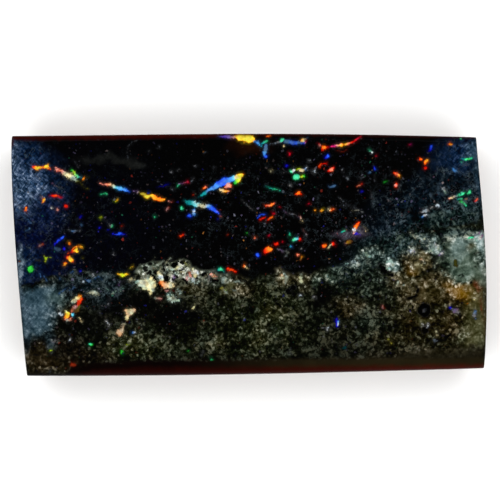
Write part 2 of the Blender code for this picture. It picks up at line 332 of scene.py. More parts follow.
# Painted over the matrix
MATRIX_WASHES = [
    *washes("green matrix", (268, 322, 40, 30, 0, 1.0, 0.8), (130, 348, 32, 14, 0, 1.0, 0.8)),
    Wash("brown matrix", 425, 318, 60, 40, 0, 1.0, 0.8),
    Wash("low matrix", 60, 358, 44, 16, 0, 0.9, 0.7),
    *washes(
        "dark matrix", (335, 318, 34, 30, 0, 0.7, 0.8), (350, 350, 80, 9, 2, 0.7, 0.8),
        (195, 316, 8, 8, 0, 0.8, 0.8), (248, 306, 9, 11, 0, 0.7, 0.8), (270, 326, 7, 6, 0, 0.8, 0.8),
        (298, 326, 10, 8, 0, 0.6, 0.8), (277, 344, 8, 6, 0, 0.6, 0.8),
    ),
    *washes(
        "olive matrix", (275, 311, 10, 6, -20, 0.4, 0.9), (261, 336, 7, 15, -10, 0.3, 0.9),
        (218, 343, 6, 5, 0, 0.4, 0.9), (130, 345, 20, 8, 0, 0.25, 0.9),
    ),
    *washes(
        "warm matrix", (352, 305, 14, 8, 0, 0.4, 0.9), (424, 290, 22, 8, 10, 0.6, 0.9),
        (446, 296, 15, 7, 0, 0.45, 0.9), (443, 322, 16, 9, 0, 0.25, 0.9),
    ),
    *washes(
        "steel haze", (40, 300, 25, 13, 4, 1.0, 0.5), (30, 320, 21, 18, 0, 0.95, 0.6),
        (54, 340, 5, 7, 0, 0.7, 0.7),
    ),
    Wash("sea green", 58, 300, 12, 8, 0, 0.4, 0.9),
    *washes("edge haze", (21, 272, 3.5, 18, 6, 0.9, 0.8), (23.5, 310, 4, 28, 6, 0.6, 0.8)),
    Wash("dark matrix", 84, 340, 26, 24, 0, 0.7, 0.7),
    *washes(
        "black matrix", (112, 302, 17, 17, 0, 1.0, 0.7), (172, 314, 27, 11, 0, 1.0, 0.7),
        (88, 318, 24, 16, 0, 0.8, 0.8), (62, 345, 12, 12, 0, 0.6, 0.9), (322, 296, 14, 9, 15, 0.9, 0.8),
    ),
    *washes("teal matrix", (374, 288, 30, 18, 0, 0.7, 0.8), (376, 322, 16, 11, 0, 0.7, 0.8)),
    *washes("network", (100, 286, 32, 13, 6, 1.0, 0.7), (72, 284, 18, 9, 0, 0.8, 0.7)),
    *washes("grey sponge", (168, 271, 28, 9, 0, 1.0, 0.15), (213, 278, 15, 7, -12, 0.9, 0.5)),
    Wash("sponge", 182, 271, 13, 6, -10, 0.8, 0.5),
    Wash("brown matrix", 190, 290, 14, 6, 0, 0.9, 0.6),
    Wash("black matrix", 142, 300, 26, 9, 4, 0.9, 0.6),
    Wash("beige", 237, 287, 12, 6, 0, 0.25, 0.9),
    Wash("olive matrix", 226, 289, 5, 4, 0, 0.8, 0.7),
    *washes("beige", (286, 277, 7, 6, -20, 0.5, 0.8), (301, 281, 6, 6, 12, 0.45, 0.9)),
    *washes("pale green", (331, 276, 6, 5, 0, 0.6, 0.8), (318, 281, 4, 5, 0, 0.3, 0.9)),
    *washes("slate haze", (356, 268, 26, 9, 18, 0.8, 0.8), (400, 245, 44, 13, 14, 1.0, 0.7)),
    *washes("milky", (354, 262, 7, 3, 15, 0.6, 0.8), (370, 255, 9, 5, 25, 0.7, 0.7)),
    Wash("ice", 391, 263, 5, 7, 25, 0.7, 0.7),
    *washes(
        "milky", (393, 259, 5, 3, 10, 0.5, 0.8), (410, 252, 5, 3.5, 30, 0.6, 0.7),
        (423, 239, 4, 3, 0, 0.5, 0.7),
    ),
    Wash("ice", 435, 245, 4, 7, 10, 0.55, 0.8),
    Wash("milky", 428, 251.5, 4, 2.5, 0, 0.7, 0.7),
    *washes("sea green", (461, 258, 20, 21, 0, 1.0, 0.6), (468, 271, 17, 10, -12, 0.9, 0.7)),
    Wash("ice", 457, 248, 8, 7, 20, 0.4, 0.95),
    Wash("pale green", 479, 275, 6, 9, 0, 0.8, 0.8),
    Wash("slate haze", 451, 268, 4, 4, 0, 0.4, 0.9),
    *washes("ice", (479, 240, 8, 7, 0, 1.0, 0.6), (481, 262, 3, 20, 4, 0.3, 0.9)),
    *washes("slate haze", (447, 262, 4, 8, 0, 0.5, 0.9), (457, 232, 17, 6.5, 0, 0.9, 0.7)),
    Wash("brown matrix", 446, 280, 16, 6, -8, 0.7, 0.7),
    Wash("tan", 420, 261, 7, 8, 0, 0.9, 0.7),
    Wash("beige", 417, 260, 8, 9, 0, 0.9, 0.8),
    Wash("ochre", 410, 271, 6, 5, -35, 0.4, 0.8),
    *washes(
        "tan", (424, 292, 13, 8, 20, 0.35, 0.9), (402, 282, 12, 8, 0, 0.35, 0.9),
        (447, 283, 8, 4, -35, 0.5, 0.9),
    ),
    *washes("ochre", (463, 292, 13, 6, -25, 0.85, 0.9), (473, 301, 6, 8, -20, 0.5, 0.9)),
    Wash("olive matrix", 474, 322, 10, 36, 0, 1.0, 0.6),
    Wash("rust", 478, 287, 2.6, 3.4, 30, 0.6, 0.9),
    Wash("edge brown", 483, 310, 3.5, 36, 2, 0.9, 0.8),
    Wash("black matrix", 478, 352, 10, 8, 0, 1.0, 0.7),
    *washes("bronze edge", (432, 357, 72, 5.5, 2, 0.8, 0.7), (470, 350, 14, 7, 0, 0.6, 0.8)),
    *washes(
        "hole", (396, 244.8, 4, 2.6, 10, 0.9, 0.5), (424.5, 249, 2, 1.6, 0, 0.8, 0.5),
        (434, 260, 3, 4, 0, 0.6, 0.6), (442.3, 258.6, 2.4, 1.8, 0, 0.8, 0.5),
        (438, 268, 2.4, 2.4, -30, 0.8, 0.5), (417, 290.5, 1.8, 3.6, 30, 0.9, 0.5),
        (412, 297.5, 5.5, 2.2, 12, 0.8, 0.6),
    ),
    Wash("olive matrix", 424, 320, 6, 2.6, 0, 0.9, 0.6),
    Wash("teal matrix", 476, 257.5, 5, 7, 0, 0.75, 0.5),
    Wash("tan", 467.6, 249.2, 3.4, 2.8, 0, 0.6, 0.7),
]


# Colours of the flashes: red, green and blue from 0 to 255, as a screen shows them
FLASH_COLOURS = {
    "red": (232, 42, 18),
    "scarlet": (246, 84, 26),
    "orange": (252, 134, 34),
    "amber": (255, 186, 52),
    "yellow": (250, 226, 62),
    "lime": (184, 226, 46),
    "olive": (118, 116, 44),
    "green": (52, 190, 66),
    "mint": (78, 222, 160),
    "teal": (26, 140, 146),
    "cyan": (110, 214, 236),
    "sky": (84, 160, 238),
    "steel": (74, 108, 146),
    "blue": (48, 92, 232),
    "indigo": (34, 30, 196),
    "violet": (112, 76, 214),
    "mauve": (140, 110, 152),
    "magenta": (204, 46, 134),
    "crimson": (196, 26, 56),
    "rust": (150, 52, 26),
    "brown": (112, 70, 40),
    "coral": (244, 140, 104),
    "rose": (232, 160, 150),
    "cream": (238, 224, 176),
    "peach": (232, 190, 148),
    "ivory": (222, 218, 168),
    "chalk": (178, 190, 172),
    "milk": (158, 188, 172),
    "stone": (136, 140, 122),
    "umber": (58, 14, 8),
    "pit": (1, 1, 1),
    "white": (226, 232, 234),
    "grey": (128, 132, 138),
}


@dataclass(frozen=True)
class Flash:
    """A fleck or a seam of play of colour. Its colours are spread evenly along it, and each of
    its places holds right, down and width, in the marks' tenths of a millimetre."""

    colours: str
    places: tuple
    light: float = 1.0


def flecks(colours, light, *places):
    """Flecks of the same colour and light, one at each of the places."""
    return [Flash(colours, (place,), light) for place in places]


def seam(colours, light, *places):
    """A seam whose colours run along its places, or a fleck where it has one place only."""
    return Flash(colours, places, light)


def seams(colours, light, *chains):
    """Seams of the same colours and light, one through each chain of places."""
    return [Flash(colours, places, light) for places in chains]


FLASHES = [
    # Long broken seam, from the left end
    seam(
        "scarlet yellow orange yellow scarlet", 1.0, (33.5, 166.5, 2.4), (38, 168.2, 4.8),
        (43.3, 167.6, 2), (47.6, 166.8, 4.4), (51, 170, 2),
    ),
    seam(
        "rose coral rose cream ivory chalk olive", 1.0, (55, 169, 1.6), (60.6, 171, 3.4),
        (64.6, 173.4, 5.4), (69, 176, 6.4), (73.4, 178.4, 5.4), (78.6, 183, 2),
    ),
    seam("green lime mint", 0.8, (72, 170.6, 2), (74.4, 173.4, 4), (77.4, 176.6, 3.4)),
    seam("teal cyan", 1.0, (77.5, 176.3, 2.4), (81, 177.4, 1.4)),
    seam("amber", 1.0, (83.3, 179.3, 2.8)),
    seam("olive", 0.6, (80, 183, 1.3), (84, 187, 1.1), (88, 190, 0.9)),
    seam("olive", 0.4, (84.5, 176, 1), (89.5, 177.4, 0.8)),
    seam(
        "rose coral cream cyan sky blue", 1.0, (100.7, 183.2, 1.6), (107, 184.5, 2.6),
        (112.5, 186, 2.6), (117, 188, 3.2), (123, 189.6, 4.4), (131, 191.6, 1),
    ),
    seam(
        "mauve olive yellow amber orange amber", 1.0, (135, 190.6, 1.4), (141, 193.4, 3),
        (147.5, 196.3, 4.6), (151.5, 195.6, 2.6), (155, 197.6, 4.6), (161.3, 199.5, 3.2), (164, 200, 2),
    ),
    seam("blue", 1.0, (148.7, 193.2, 1.8)),
    seam("rose rust", 0.6, (169.5, 201.6, 1.8), (172.5, 201.8, 2.2)),
    # Strokes in the haze on the left
    *seams(
        "steel", 0.7, ((30.7, 153.4, 1), (34, 158.6, 2), (38.6, 163.4, 1)),
        ((17, 208, 1.2), (22, 213.6, 1.8), (27, 219, 1.2)), ((25.7, 217.7, 1.4), (31.4, 223.4, 1.9)),
    ),
    seam("grey steel", 0.85, (28.6, 192, 1.2), (34, 197.6, 2.2), (40.7, 203.4, 1.2)),
    seam("grey steel", 0.8, (16.4, 202, 1.8), (20, 207.6, 2.2), (24.3, 213.4, 1.2)),
    seam("grey steel", 0.75, (36.4, 176.3, 1.4), (40.6, 178.4, 2.3), (45, 181.6, 1.4)),
    *seams("steel", 0.9, ((38, 181.4, 1.4), (42.4, 184.6, 2)), ((31.4, 182, 2), (35.7, 187.4, 1.6))),
    seam("grey steel", 0.7, (42.9, 186.3, 1.6), (47.9, 192, 2)),
    *seams(
        "steel", 0.8, ((46, 199.4, 1.4), (43.4, 194.6, 1.8), (45.6, 190.4, 1.4)),
        ((26.6, 231, 2), (30.4, 229.4, 1.6)),
    ),
    seam("steel", 0.75, (26, 170.6, 1.4), (30.4, 176.4, 1.9)),
    seam("grey steel grey", 0.55, (69, 229.6, 1.8), (73, 231.8, 2.8), (80.6, 231, 1.8)),
    seam("mauve stone", 0.35, (53, 183.4, 2), (56, 186, 2.6), (60, 188, 1.6)),
    # Left of the seam
    seam(
        "crimson red scarlet crimson", 1.0, (50.5, 197, 1), (54, 195.6, 3), (56.6, 195.6, 3.4),
        (63, 197, 1),
    ),
    seam("amber", 1.0, (43.2, 202, 2), (43.8, 199.8, 4)),
    seam("red", 1.0, (66.9, 206, 4.6)),
    seam("orange", 0.8, (26.4, 208.6, 2.4), (27, 210.8, 3.2)),
    seam("rose", 0.5, (57.2, 210, 3.6)),
    seam("white", 0.5, (52.4, 208, 2.4)),
    seam("mint", 0.8, (102.6, 194.3, 2), (106.4, 195, 2.2)),
    seam("lime yellow", 1.0, (116, 201, 2.2), (117.8, 199.6, 2.4)),
    seam("mint", 0.8, (155.3, 216, 2.6)),
    seam("grey mint", 0.5, (110.5, 225.4, 4), (112, 225.8, 4)),
    seam("grey", 0.4, (105, 219.6, 1.2), (107.8, 222.2, 1.4)),
    seam("lime", 0.5, (100.6, 218.4, 1.6), (102, 217, 1.6)),
    seam("indigo", 0.7, (80.4, 216.5, 3.2)),
    *flecks("indigo", 0.8, (99.6, 227.2, 2.8), (108.7, 230, 2.4), (81, 271, 2.8)),
    seam("indigo blue indigo", 0.9, (113.5, 234.4, 2), (119, 233.8, 3.4), (126, 234.8, 1.4)),
    seam("indigo blue", 0.9, (54.6, 244.8, 1.8), (59, 240.4, 2.6), (63.8, 236.9, 3.4)),
    seam("indigo", 0.9, (64.4, 249.2, 3.8)),
    seam("steel", 0.25, (55.5, 248.4, 5), (58.5, 250, 6)),
    seam("scarlet", 0.5, (123, 227, 2.2)),
    seam(
        "red orange amber yellow", 1.0, (73, 251.4, 2.4), (74.5, 248.4, 2.2), (78.4, 246.6, 2.2),
        (82.3, 247.6, 2.6),
    ),
    seam("red amber yellow", 1.0, (73.4, 252.2, 2.8), (75.6, 251.6, 2.4), (77.6, 250.8, 4.6)),
    seam("rust", 0.7, (69.6, 253.4, 3.6)),
    seam(
        "scarlet amber yellow orange", 1.0, (67.5, 257.4, 3), (70, 258.4, 4.6), (71.6, 259.6, 5),
        (73, 261.2, 3),
    ),
    seam("orange amber", 1.0, (65.8, 262.6, 2.8), (65, 265, 3.6)),
    seam("amber orange", 1.0, (69.2, 242.4, 2), (70.6, 244, 3)),
    seam("olive", 0.6, (65.3, 239.2, 2)),
    seam("olive lime lime", 0.65, (45, 255, 1.6), (47.3, 258.4, 3), (46.3, 262, 2.2)),
    seam("lime", 0.6, (47.3, 258, 1.6), (51.5, 257.4, 1.4)),
    seam("olive", 0.6, (35.5, 258.8, 1), (40.5, 260.8, 1.5)),
    seam("green", 1.0, (31.3, 269, 6.6)),
    seam("lime", 1.0, (31, 269, 3.2)),
    seam("rose rust", 0.3, (40.5, 246, 3), (44, 244.4, 3.4)),
    seam("olive", 0.8, (83, 258, 2.4)),
    *flecks("white", 0.8, (93.8, 274.4, 2.8), (83.3, 282.2, 2.2)),
    seam("yellow lime yellow", 1.0, (118.6, 273.6, 2), (123, 274.6, 4), (128.6, 273.2, 1.4)),
    seam("olive yellow", 0.7, (130.2, 268.4, 2.4), (133.5, 266.2, 1.2)),
    seam("rust brown", 0.8, (19.5, 261.6, 2.6)),
    # Forked seam in the middle
    seam(
        "teal teal steel sky blue blue sky cyan", 1.0, (199.5, 197.6, 1.6), (205, 194, 4),
        (209.4, 189.8, 3.4), (213.6, 187.8, 4.6), (219, 185.4, 6.6), (224, 181.8, 8), (229.4, 180, 6.6),
        (234, 178.2, 5.6),
    ),
    seam(
        "cream yellow yellow orange", 1.0, (235.8, 178.4, 5), (238.8, 177.2, 6), (241.6, 175.6, 5.2),
        (243.2, 174, 2),
    ),
    seam("green lime yellow", 1.0, (234.6, 183, 3.6), (237, 181.6, 4.4), (239.8, 179.6, 3.6)),
    seam("coral rose coral", 1.0, (226, 187, 3.6), (228, 185, 5.6), (230, 186, 3.6)),
    seam("cream amber coral", 1.0, (221.6, 190.8, 3.6), (225, 191.8, 3.6), (229, 191.4, 1.8)),
    seam("orange coral", 0.9, (203.4, 189.6, 2.4), (205.4, 187.4, 3.2)),
    seam("rust", 0.8, (193.7, 194.9, 2.6)),
    seam(
        "teal teal cyan cream sky blue blue coral", 1.0, (184.5, 200.6, 2), (190.5, 202.3, 4.4),
        (195.5, 204.6, 5), (203, 205.4, 3.8), (207.5, 206, 4.2), (213, 208.8, 4.6), (218, 212.6, 2.6),
        (221.5, 216, 1.2),
    ),
    seam("mint", 0.9, (182.4, 208.3, 4.2)),
    seam("sky white sky", 0.8, (194, 210.2, 2.8), (194, 213.6, 3.4)),
    seam("blue", 1.0, (190, 216.4, 4.2)),
    seam("indigo", 0.4, (218.7, 219, 3)),
    seam("rose rust", 0.45, (167, 209.4, 3), (170.4, 207.6, 2.6)),
    seam("indigo", 0.3, (158, 188, 1), (163, 186, 2), (169, 184.8, 1.6)),
    seam("grey", 0.5, (172, 187.8, 1.4), (174.8, 189, 1.6)),
    seam("mint", 0.6, (177.2, 186.8, 1.8), (178.4, 185.2, 2.4)),
    seam("mauve crimson", 0.7, (178.5, 184.4, 1), (184, 182.6, 1.4), (188, 182, 2.4)),
    *seams(
        "grey", 0.3, ((190.8, 182.8, 1.6), (193.4, 179.8, 2.2)), ((74.5, 161.5, 1.6), (79, 167, 1.8)),
    ),
    seam(
        "grey", 0.22, (137, 140, 1), (132, 142.5, 1), (128.5, 147, 1.2), (127.4, 152, 1.3),
        (127.8, 158, 1.8),
    ),
    *flecks("grey", 0.5, (160, 147.8, 3), (172, 172, 3.2), (195.6, 166, 2.2), (158, 180.8, 2.2)),
    *flecks("grey", 0.4, (178.8, 170.4, 2.4), (214, 167.7, 2.2), (114.3, 253.4, 2.8)),
    *flecks("grey", 0.25, (149.3, 151.8, 2.2), (205.6, 153.4, 2.2)),
    seam("scarlet red", 0.9, (180.4, 236, 2.8), (182.4, 234.8, 3.6)),
    seam("rust", 0.5, (227.5, 234.2, 2.8)),
    seam("steel", 0.3, (81.6, 224.7, 3.4)),
    # Back edge
    seam(
        "steel violet mauve rose", 1.0, (218, 135.8, 2), (224, 137, 3.4), (230, 138, 4),
        (234.6, 137.6, 4),
    ),
    seam(
        "amber yellow yellow yellow amber", 1.2, (236.4, 136.4, 4), (240, 137.4, 7), (245, 138, 9),
        (250.4, 139, 8.4), (252.4, 140, 5),
    ),
    seam("steel sky teal", 1.0, (254, 141, 2.4), (258, 143.8, 3), (261.4, 146.8, 2)),
    seam("orange", 1.0, (266, 135.6, 2), (269.5, 135.6, 2.6)),
    seam("teal mint", 1.0, (262, 144.3, 2.4), (266.5, 141.8, 3.6)),
    seam("steel steel sky", 0.8, (266.5, 146, 4), (265.8, 150, 5.4), (264.6, 153.6, 4)),
    seam("blue", 1.0, (266, 156.2, 4.4)),
    seam("grey", 0.4, (271, 144.3, 2), (276, 143.3, 3.4), (280, 142.8, 4)),
    seam("mint", 1.0, (279.6, 142.4, 3.4), (281.6, 141.4, 4.2)),
    seam("cream", 0.8, (283.3, 145.8, 2.8)),
    seam(
        "steel steel blue steel indigo", 0.75, (284.5, 142, 4.4), (289, 142.6, 5), (294, 143, 5),
        (299, 142.8, 4.4), (303, 143.4, 2.6),
    ),
    seam("amber cream", 1.0, (300.8, 140.6, 3), (303.2, 139.8, 3.8)),
    seam("mauve crimson", 0.8, (303.6, 143.4, 2.6), (305.2, 141.4, 2.4)),
    seam("steel", 0.3, (307, 138.4, 3.6)),
    seam("crimson", 1.0, (289.3, 153.9, 3.8)),
    seam("indigo", 0.6, (287, 166.5, 4)),
    seam("mint white", 1.0, (292.2, 171.6, 3.6), (293.4, 171, 3.4)),
    seam("lime", 1.0, (297.6, 169.4, 2.4), (299.8, 168.6, 2.4)),
    seam("cream", 1.0, (301.2, 171, 3.8)),
    seam("sky white", 0.8, (304.5, 170.7, 1.8), (307, 168.6, 2)),
    seam("mint", 1.0, (296.5, 177.4, 6)),
    seam("lime green", 1.0, (300.8, 177.2, 3), (303.2, 176.6, 3.2)),
    seam("cream", 0.5, (270.8, 171, 2.8)),
    seam("grey", 0.3, (281, 174, 0.9), (285, 172.2, 1), (289.5, 172.6, 0.9)),
    seam("white", 0.4, (308.9, 160.8, 2.2)),
    *flecks("white", 0.6, (313.7, 171.5, 2.4), (290.3, 185.7, 2.6)),
    seam("crimson rose", 1.0, (318.2, 145, 1.8), (319.4, 146.4, 2.4)),
    seam("red orange red", 0.95, (321.6, 149.4, 2.8), (323.6, 147.6, 4), (327, 147.6, 1.8)),
    seam(
        "crimson magenta rose amber yellow coral red crimson crimson", 1.1, (330, 146.6, 2),
        (334, 146.4, 3.4), (337.4, 145.8, 3.4), (341, 145.4, 3.4), (344.6, 144.8, 2.2), (348, 144, 3.4),
        (352, 142.4, 1.8), (357, 140, 2.6), (361.6, 136.4, 1.8),
    ),
    seam("rust", 0.35, (336, 152, 1), (347, 150.4, 2.2)),
    seam("indigo blue", 1.0, (325.4, 157, 3.4), (326.8, 156, 3.6)),
    seam("scarlet", 0.85, (319.4, 166.6, 2.6), (321, 163.8, 2.2)),
    seam("red", 0.8, (322.8, 163.6, 2), (326, 163.2, 1.6)),
    seam("red coral red", 1.0, (328.6, 171.3, 2.6), (331.2, 169.8, 4), (333.4, 168, 2)),
    seam("grey", 0.4, (342.7, 170.4, 3)),
    seam("steel", 0.6, (329.6, 187, 3.6), (334.6, 185.8, 4)),
    seam(
        "teal mint teal", 1.0, (265.8, 186.6, 1.4), (271, 188.4, 2.6), (274.6, 188.8, 1.8),
        (279, 190.4, 2), (282.5, 191.8, 1),
    ),
    seam("scarlet orange scarlet", 1.0, (295.6, 194.6, 2), (298.5, 193, 4.8), (301, 194.6, 2.4)),
    # Pinfire in the smoky middle
    seam(
        "scarlet coral orange coral", 1.0, (264.4, 205, 2.4), (268.5, 205.8, 3), (272, 204.8, 3),
        (274.6, 203.3, 1.8),
    ),
    *flecks("crimson", 0.6, (279.3, 207.1, 2.2), (281.7, 241.3, 2.8)),
    seam("blue", 0.8, (258.4, 216.8, 2), (261, 214.8, 1.6), (265, 215.2, 2)),
    seam("red", 1.0, (260.6, 219, 2.4), (264, 218, 2)),
    seam("crimson", 1.0, (272.8, 213.8, 2.8)),
    seam("red orange", 0.9, (268, 219.8, 2.4), (271.6, 217.6, 2.6)),
    *flecks("crimson", 0.5, (309.3, 203.8, 3), (269.6, 236.2, 3)),
    seam("amber", 0.6, (314.7, 211.3, 2.6)),
    seam("amber yellow", 1.0, (321.4, 210.6, 3), (322.6, 209.6, 2.6)),
    seam("cream orange coral", 1.0, (328.4, 209.6, 2.6), (331, 209.6, 3), (334.6, 209, 1.8)),
    seam("grey", 0.35, (341, 206, 1), (346, 205, 1), (352, 207.5, 1.2), (358, 210, 1)),
    *seams(
        "grey", 0.3, ((319, 203, 1), (317, 198.6, 1.1), (319, 196, 0.9)),
        ((262, 222.6, 1.6), (266, 224, 2)),
    ),
    seam("rose cream", 0.6, (299, 217.2, 2), (301, 220.4, 2.4)),
    *seams(
        "scarlet orange", 1.0, ((357.6, 223.4, 2.8), (355.6, 227, 4)),
        ((323, 246, 3.6), (324.4, 245.2, 4)),
    ),
    seam("white rose", 1.0, (353.6, 229.4, 4.6), (353, 231.8, 3.2)),
    seam("indigo violet", 0.9, (355.2, 233.2, 4), (359, 235.2, 1.4)),
    seam("teal mint", 0.9, (340.8, 232.8, 2), (343.5, 231, 2.6)),
    seam("grey cream", 0.5, (360, 224.8, 1.2), (364, 226, 1.4), (366.8, 231.5, 1.2)),
    seam("amber brown", 0.3, (347.6, 243.4, 4), (350.4, 242, 5)),
    seam("rose", 0.4, (345.8, 244.4, 2.6)),
    seam("teal mint", 0.8, (288.3, 232, 1.6), (289.5, 235, 1.8)),
    seam(
        "grey mauve stone grey", 0.32, (278, 249, 2), (282, 250.4, 3.4), (287, 252.6, 3.6),
        (284.6, 258, 2),
    ),
    seam("grey", 0.28, (241, 200, 1.6), (247, 205, 2.2), (256, 213, 1.6)),
    seam("mauve grey mauve", 0.3, (283, 211, 1.6), (289, 213, 2.6), (296, 216, 2.2), (300, 219, 1.6)),
    seam("rose grey", 0.5, (303, 230, 1.4), (305.6, 236, 2)),
    seam("mint cyan", 1.0, (292.8, 239.4, 3), (296, 238, 3.4)),
    *flecks("red", 1.0, (298.9, 238.8, 3.4), (333.4, 243.5, 3.8)),
    seam("teal sky", 0.9, (290.7, 245.7, 3.4)),
    seam("coral", 0.8, (254.4, 237.2, 3.2)),
    seam("red", 0.9, (275.7, 244.5, 4)),
    seam("red scarlet orange", 1.0, (265, 251.4, 4), (269, 249.3, 6.4)),
    seam("blue", 1.0, (257.8, 255.6, 4)),
    seam("cream", 1.0, (329, 247.4, 1.8), (330.3, 244.4, 2.4)),
    seam("coral", 1.0, (297.2, 255.2, 3.4)),
    seam("brown amber", 0.6, (300.2, 259.4, 3), (301.2, 257.2, 3)),
    seam("grey", 0.5, (301.5, 248.6, 2.8)),
    seam("green", 0.5, (246.6, 233.4, 2.6)),
    seam("red scarlet red", 1.0, (228.4, 268, 2.6), (231, 270, 3.4), (235.6, 271.4, 2)),
    seam("orange cream", 0.9, (245, 265.6, 3.6), (246.4, 266.8, 3)),
    seam(
        "teal mint teal", 1.0, (217.6, 271, 1.8), (220.4, 268.4, 2.6), (223, 269.6, 2.4),
        (224.6, 272.4, 2),
    ),
    # Right part of the back
    seam("mint white", 0.9, (368.6, 149.8, 1.2), (370.8, 152.4, 2.2)),
    seam("crimson", 0.5, (376, 155.4, 2.6)),
    seam("crimson magenta", 0.6, (408.5, 145.6, 1.2), (411, 145, 2.2)),
    seam("indigo blue", 1.0, (373.4, 168.2, 2.4), (374.6, 170, 2.8)),
    seam("steel", 0.5, (368.7, 173, 2.8)),
    seam("green", 0.5, (384.6, 182.4, 2), (386.8, 181.4, 2)),
    seam("indigo blue", 0.6, (428.4, 150.6, 3), (431.6, 147, 3)),
    seam("scarlet orange", 1.0, (419.6, 159.6, 3.4), (421, 159.6, 3)),
    seam("orange amber", 1.0, (424.5, 163.6, 2.6), (427.3, 161, 3)),
    seam("red", 0.9, (424.3, 167.5, 3.6)),
    seam("scarlet coral amber", 0.95, (394.5, 173.2, 2), (396.4, 174.6, 2.6), (399.2, 176.2, 2.4)),
    seam("scarlet rose scarlet", 1.0, (396.4, 183.4, 2.8), (396, 185.6, 4), (395.4, 187.6, 2.6)),
    seam("rust coral red", 0.65, (356.8, 186.8, 2.2), (359.2, 185.8, 3.2), (361.6, 184.6, 2)),
    *seams(
        "grey", 0.4, ((345, 176, 1.4), (348, 179, 1.8)),
        ((370.6, 192, 1), (371, 196, 1.6), (372.6, 199.4, 2)),
    ),
    *seams(
        "grey", 0.45, ((358.6, 178, 1.2), (361, 179.6, 2), (364, 177, 1.6)),
        ((374, 177, 1.6), (375, 181, 1.8)), ((342.6, 205.6, 1.6), (346, 206, 1.8)),
    ),
    seam("grey", 0.3, (339, 198, 1.4), (343, 203, 2)),
    seam("stone grey", 0.5, (352, 210, 1.4), (357, 210.6, 1.8), (362, 213, 1.6)),
    seam("indigo", 0.4, (361.4, 192, 3)),
    *flecks("mint", 0.7, (459.8, 138.8, 2.8), (461.2, 163.2, 2.2)),
    seam("orange amber", 0.8, (449.4, 144.4, 3), (451, 145.2, 2.4)),
    seam("mint green mint", 1.0, (464.5, 159.6, 2.4), (468.3, 159, 3.8), (471, 158.3, 2)),
    seam("teal", 0.9, (461.8, 158.8, 2.8)),
    seam("sky steel", 0.6, (452.8, 170, 2), (455.5, 171, 3.2)),
    seam("grey milk", 0.8, (443.6, 189.6, 3), (444.6, 193, 3.2)),
    seam(
        "rose cream grey mint", 0.9, (448, 199.3, 2), (451, 198, 2.6), (455, 197.3, 2.6),
        (458.5, 195.8, 2.4),
    ),
    seam("mint", 1.0, (460.4, 194.6, 3), (462.4, 193.4, 3.4)),
    seam("mint", 0.8, (466, 193.6, 2), (468.6, 191.8, 2.4)),
    seam("teal mint", 0.8, (456.5, 200.2, 1.6), (461, 199.6, 2)),
    seam("green mint", 0.9, (459, 202, 1.8), (462.5, 204, 2.4), (465, 206.2, 1.8)),
    seam("crimson coral", 1.0, (474.3, 201, 2.2), (476, 198.8, 2.4)),
    seam("grey white grey", 0.6, (421.4, 211.6, 2.6), (425, 210.4, 4.4), (428, 210.8, 2.6)),
    seam("sky white", 0.6, (422.6, 217.6, 2.8), (425.4, 215.8, 4)),
    seam("white", 0.65, (436.8, 206, 4)),
    seam("white", 0.5, (430.6, 207, 3)),
    seam("mint", 0.9, (467.5, 237.6, 2.4), (471.5, 236.8, 2.4)),
    # Left part of the front
    seam("scarlet red rust", 0.9, (82, 298.6, 4), (79.4, 301.4, 6), (77.6, 305.4, 3.4)),
    seam("amber ivory chalk", 0.9, (81.4, 295.6, 2.8), (77, 298.8, 4), (73.4, 303, 4)),
    seam("rose brown coral", 0.7, (76, 306.4, 3), (73.6, 309, 4), (72.4, 311, 2.4)),
    seam("olive brown", 0.35, (79.6, 306, 4), (75, 312, 4)),
    seam("ivory yellow amber", 1.0, (65.6, 309.6, 2), (68, 312.4, 4.6), (67, 316.4, 4.4)),
    *seams("white", 0.7, ((60.6, 313.4, 3.6), (63, 315, 3)), ((106, 320.6, 1.3), (108.8, 325, 1.6))),
    seam("cyan", 1.0, (73.3, 314.6, 4.4)),
    seam("coral chalk coral", 0.8, (65.6, 318.4, 2.6), (68, 320.4, 2.8), (71.4, 318, 2)),
    seam("cream", 0.6, (79.4, 317.4, 1.8), (82.6, 320.4, 1.8)),
    seam("stone chalk stone", 0.75, (88, 293, 2), (94, 292.6, 6.4), (98.6, 294, 4)),
    seam("grey", 0.3, (53.2, 342.4, 3), (56, 339.8, 4)),
    seam("lime", 0.6, (51.7, 349.6, 2.6)),
    *seams(
        "mint green", 1.0, ((90.4, 344.8, 2.8), (91.8, 345.6, 2.6)),
        ((209.8, 357.2, 1.8), (212.6, 360.6, 3.2)),
    ),
    seam("white", 0.5, (71.2, 339.6, 2.8)),
    seam("rust", 0.8, (72.4, 363.6, 5), (75, 364.6, 5)),
    seam("grey", 0.3, (50.5, 370.3, 3)),
    seam("peach ivory peach", 0.8, (125.6, 309.6, 3), (130, 311.4, 8), (134.4, 309.6, 3.4)),
    seam("peach ivory", 0.85, (129.6, 313.4, 6.6), (127.8, 318, 4)),
    seam("umber", 1.0, (127.3, 321, 3)),
    seam("stone peach", 0.8, (124.4, 323.6, 4), (122.4, 328, 3.4), (119.7, 332.4, 6)),
    seam("stone", 0.35, (137, 320, 1.6), (141, 323, 2.2), (142.6, 328, 2.4), (139.6, 333, 2)),
    seam("sky white", 0.8, (133, 332.8, 2.6), (134.8, 332.6, 2.6)),
    seam("green", 0.9, (121.6, 350.8, 2.8), (122.8, 353, 3.4)),
    seam("lime", 0.4, (127, 344.6, 2.2), (129.4, 343.8, 2)),
    seam("green", 0.5, (188.2, 350.3, 3)),
    seam("white", 0.8, (201.4, 355.6, 1.2), (203, 352, 1.4)),
    seam("grey", 0.5, (160.6, 357, 3)),
    seam("lime", 0.4, (226.5, 289.6, 2.4)),
    # Right part of the front
    seam("indigo", 0.9, (336, 319.6, 3.6), (337.2, 325, 3.4)),
    seam("sky white", 1.0, (337.6, 321.6, 2.6), (337.6, 324.2, 2.8)),
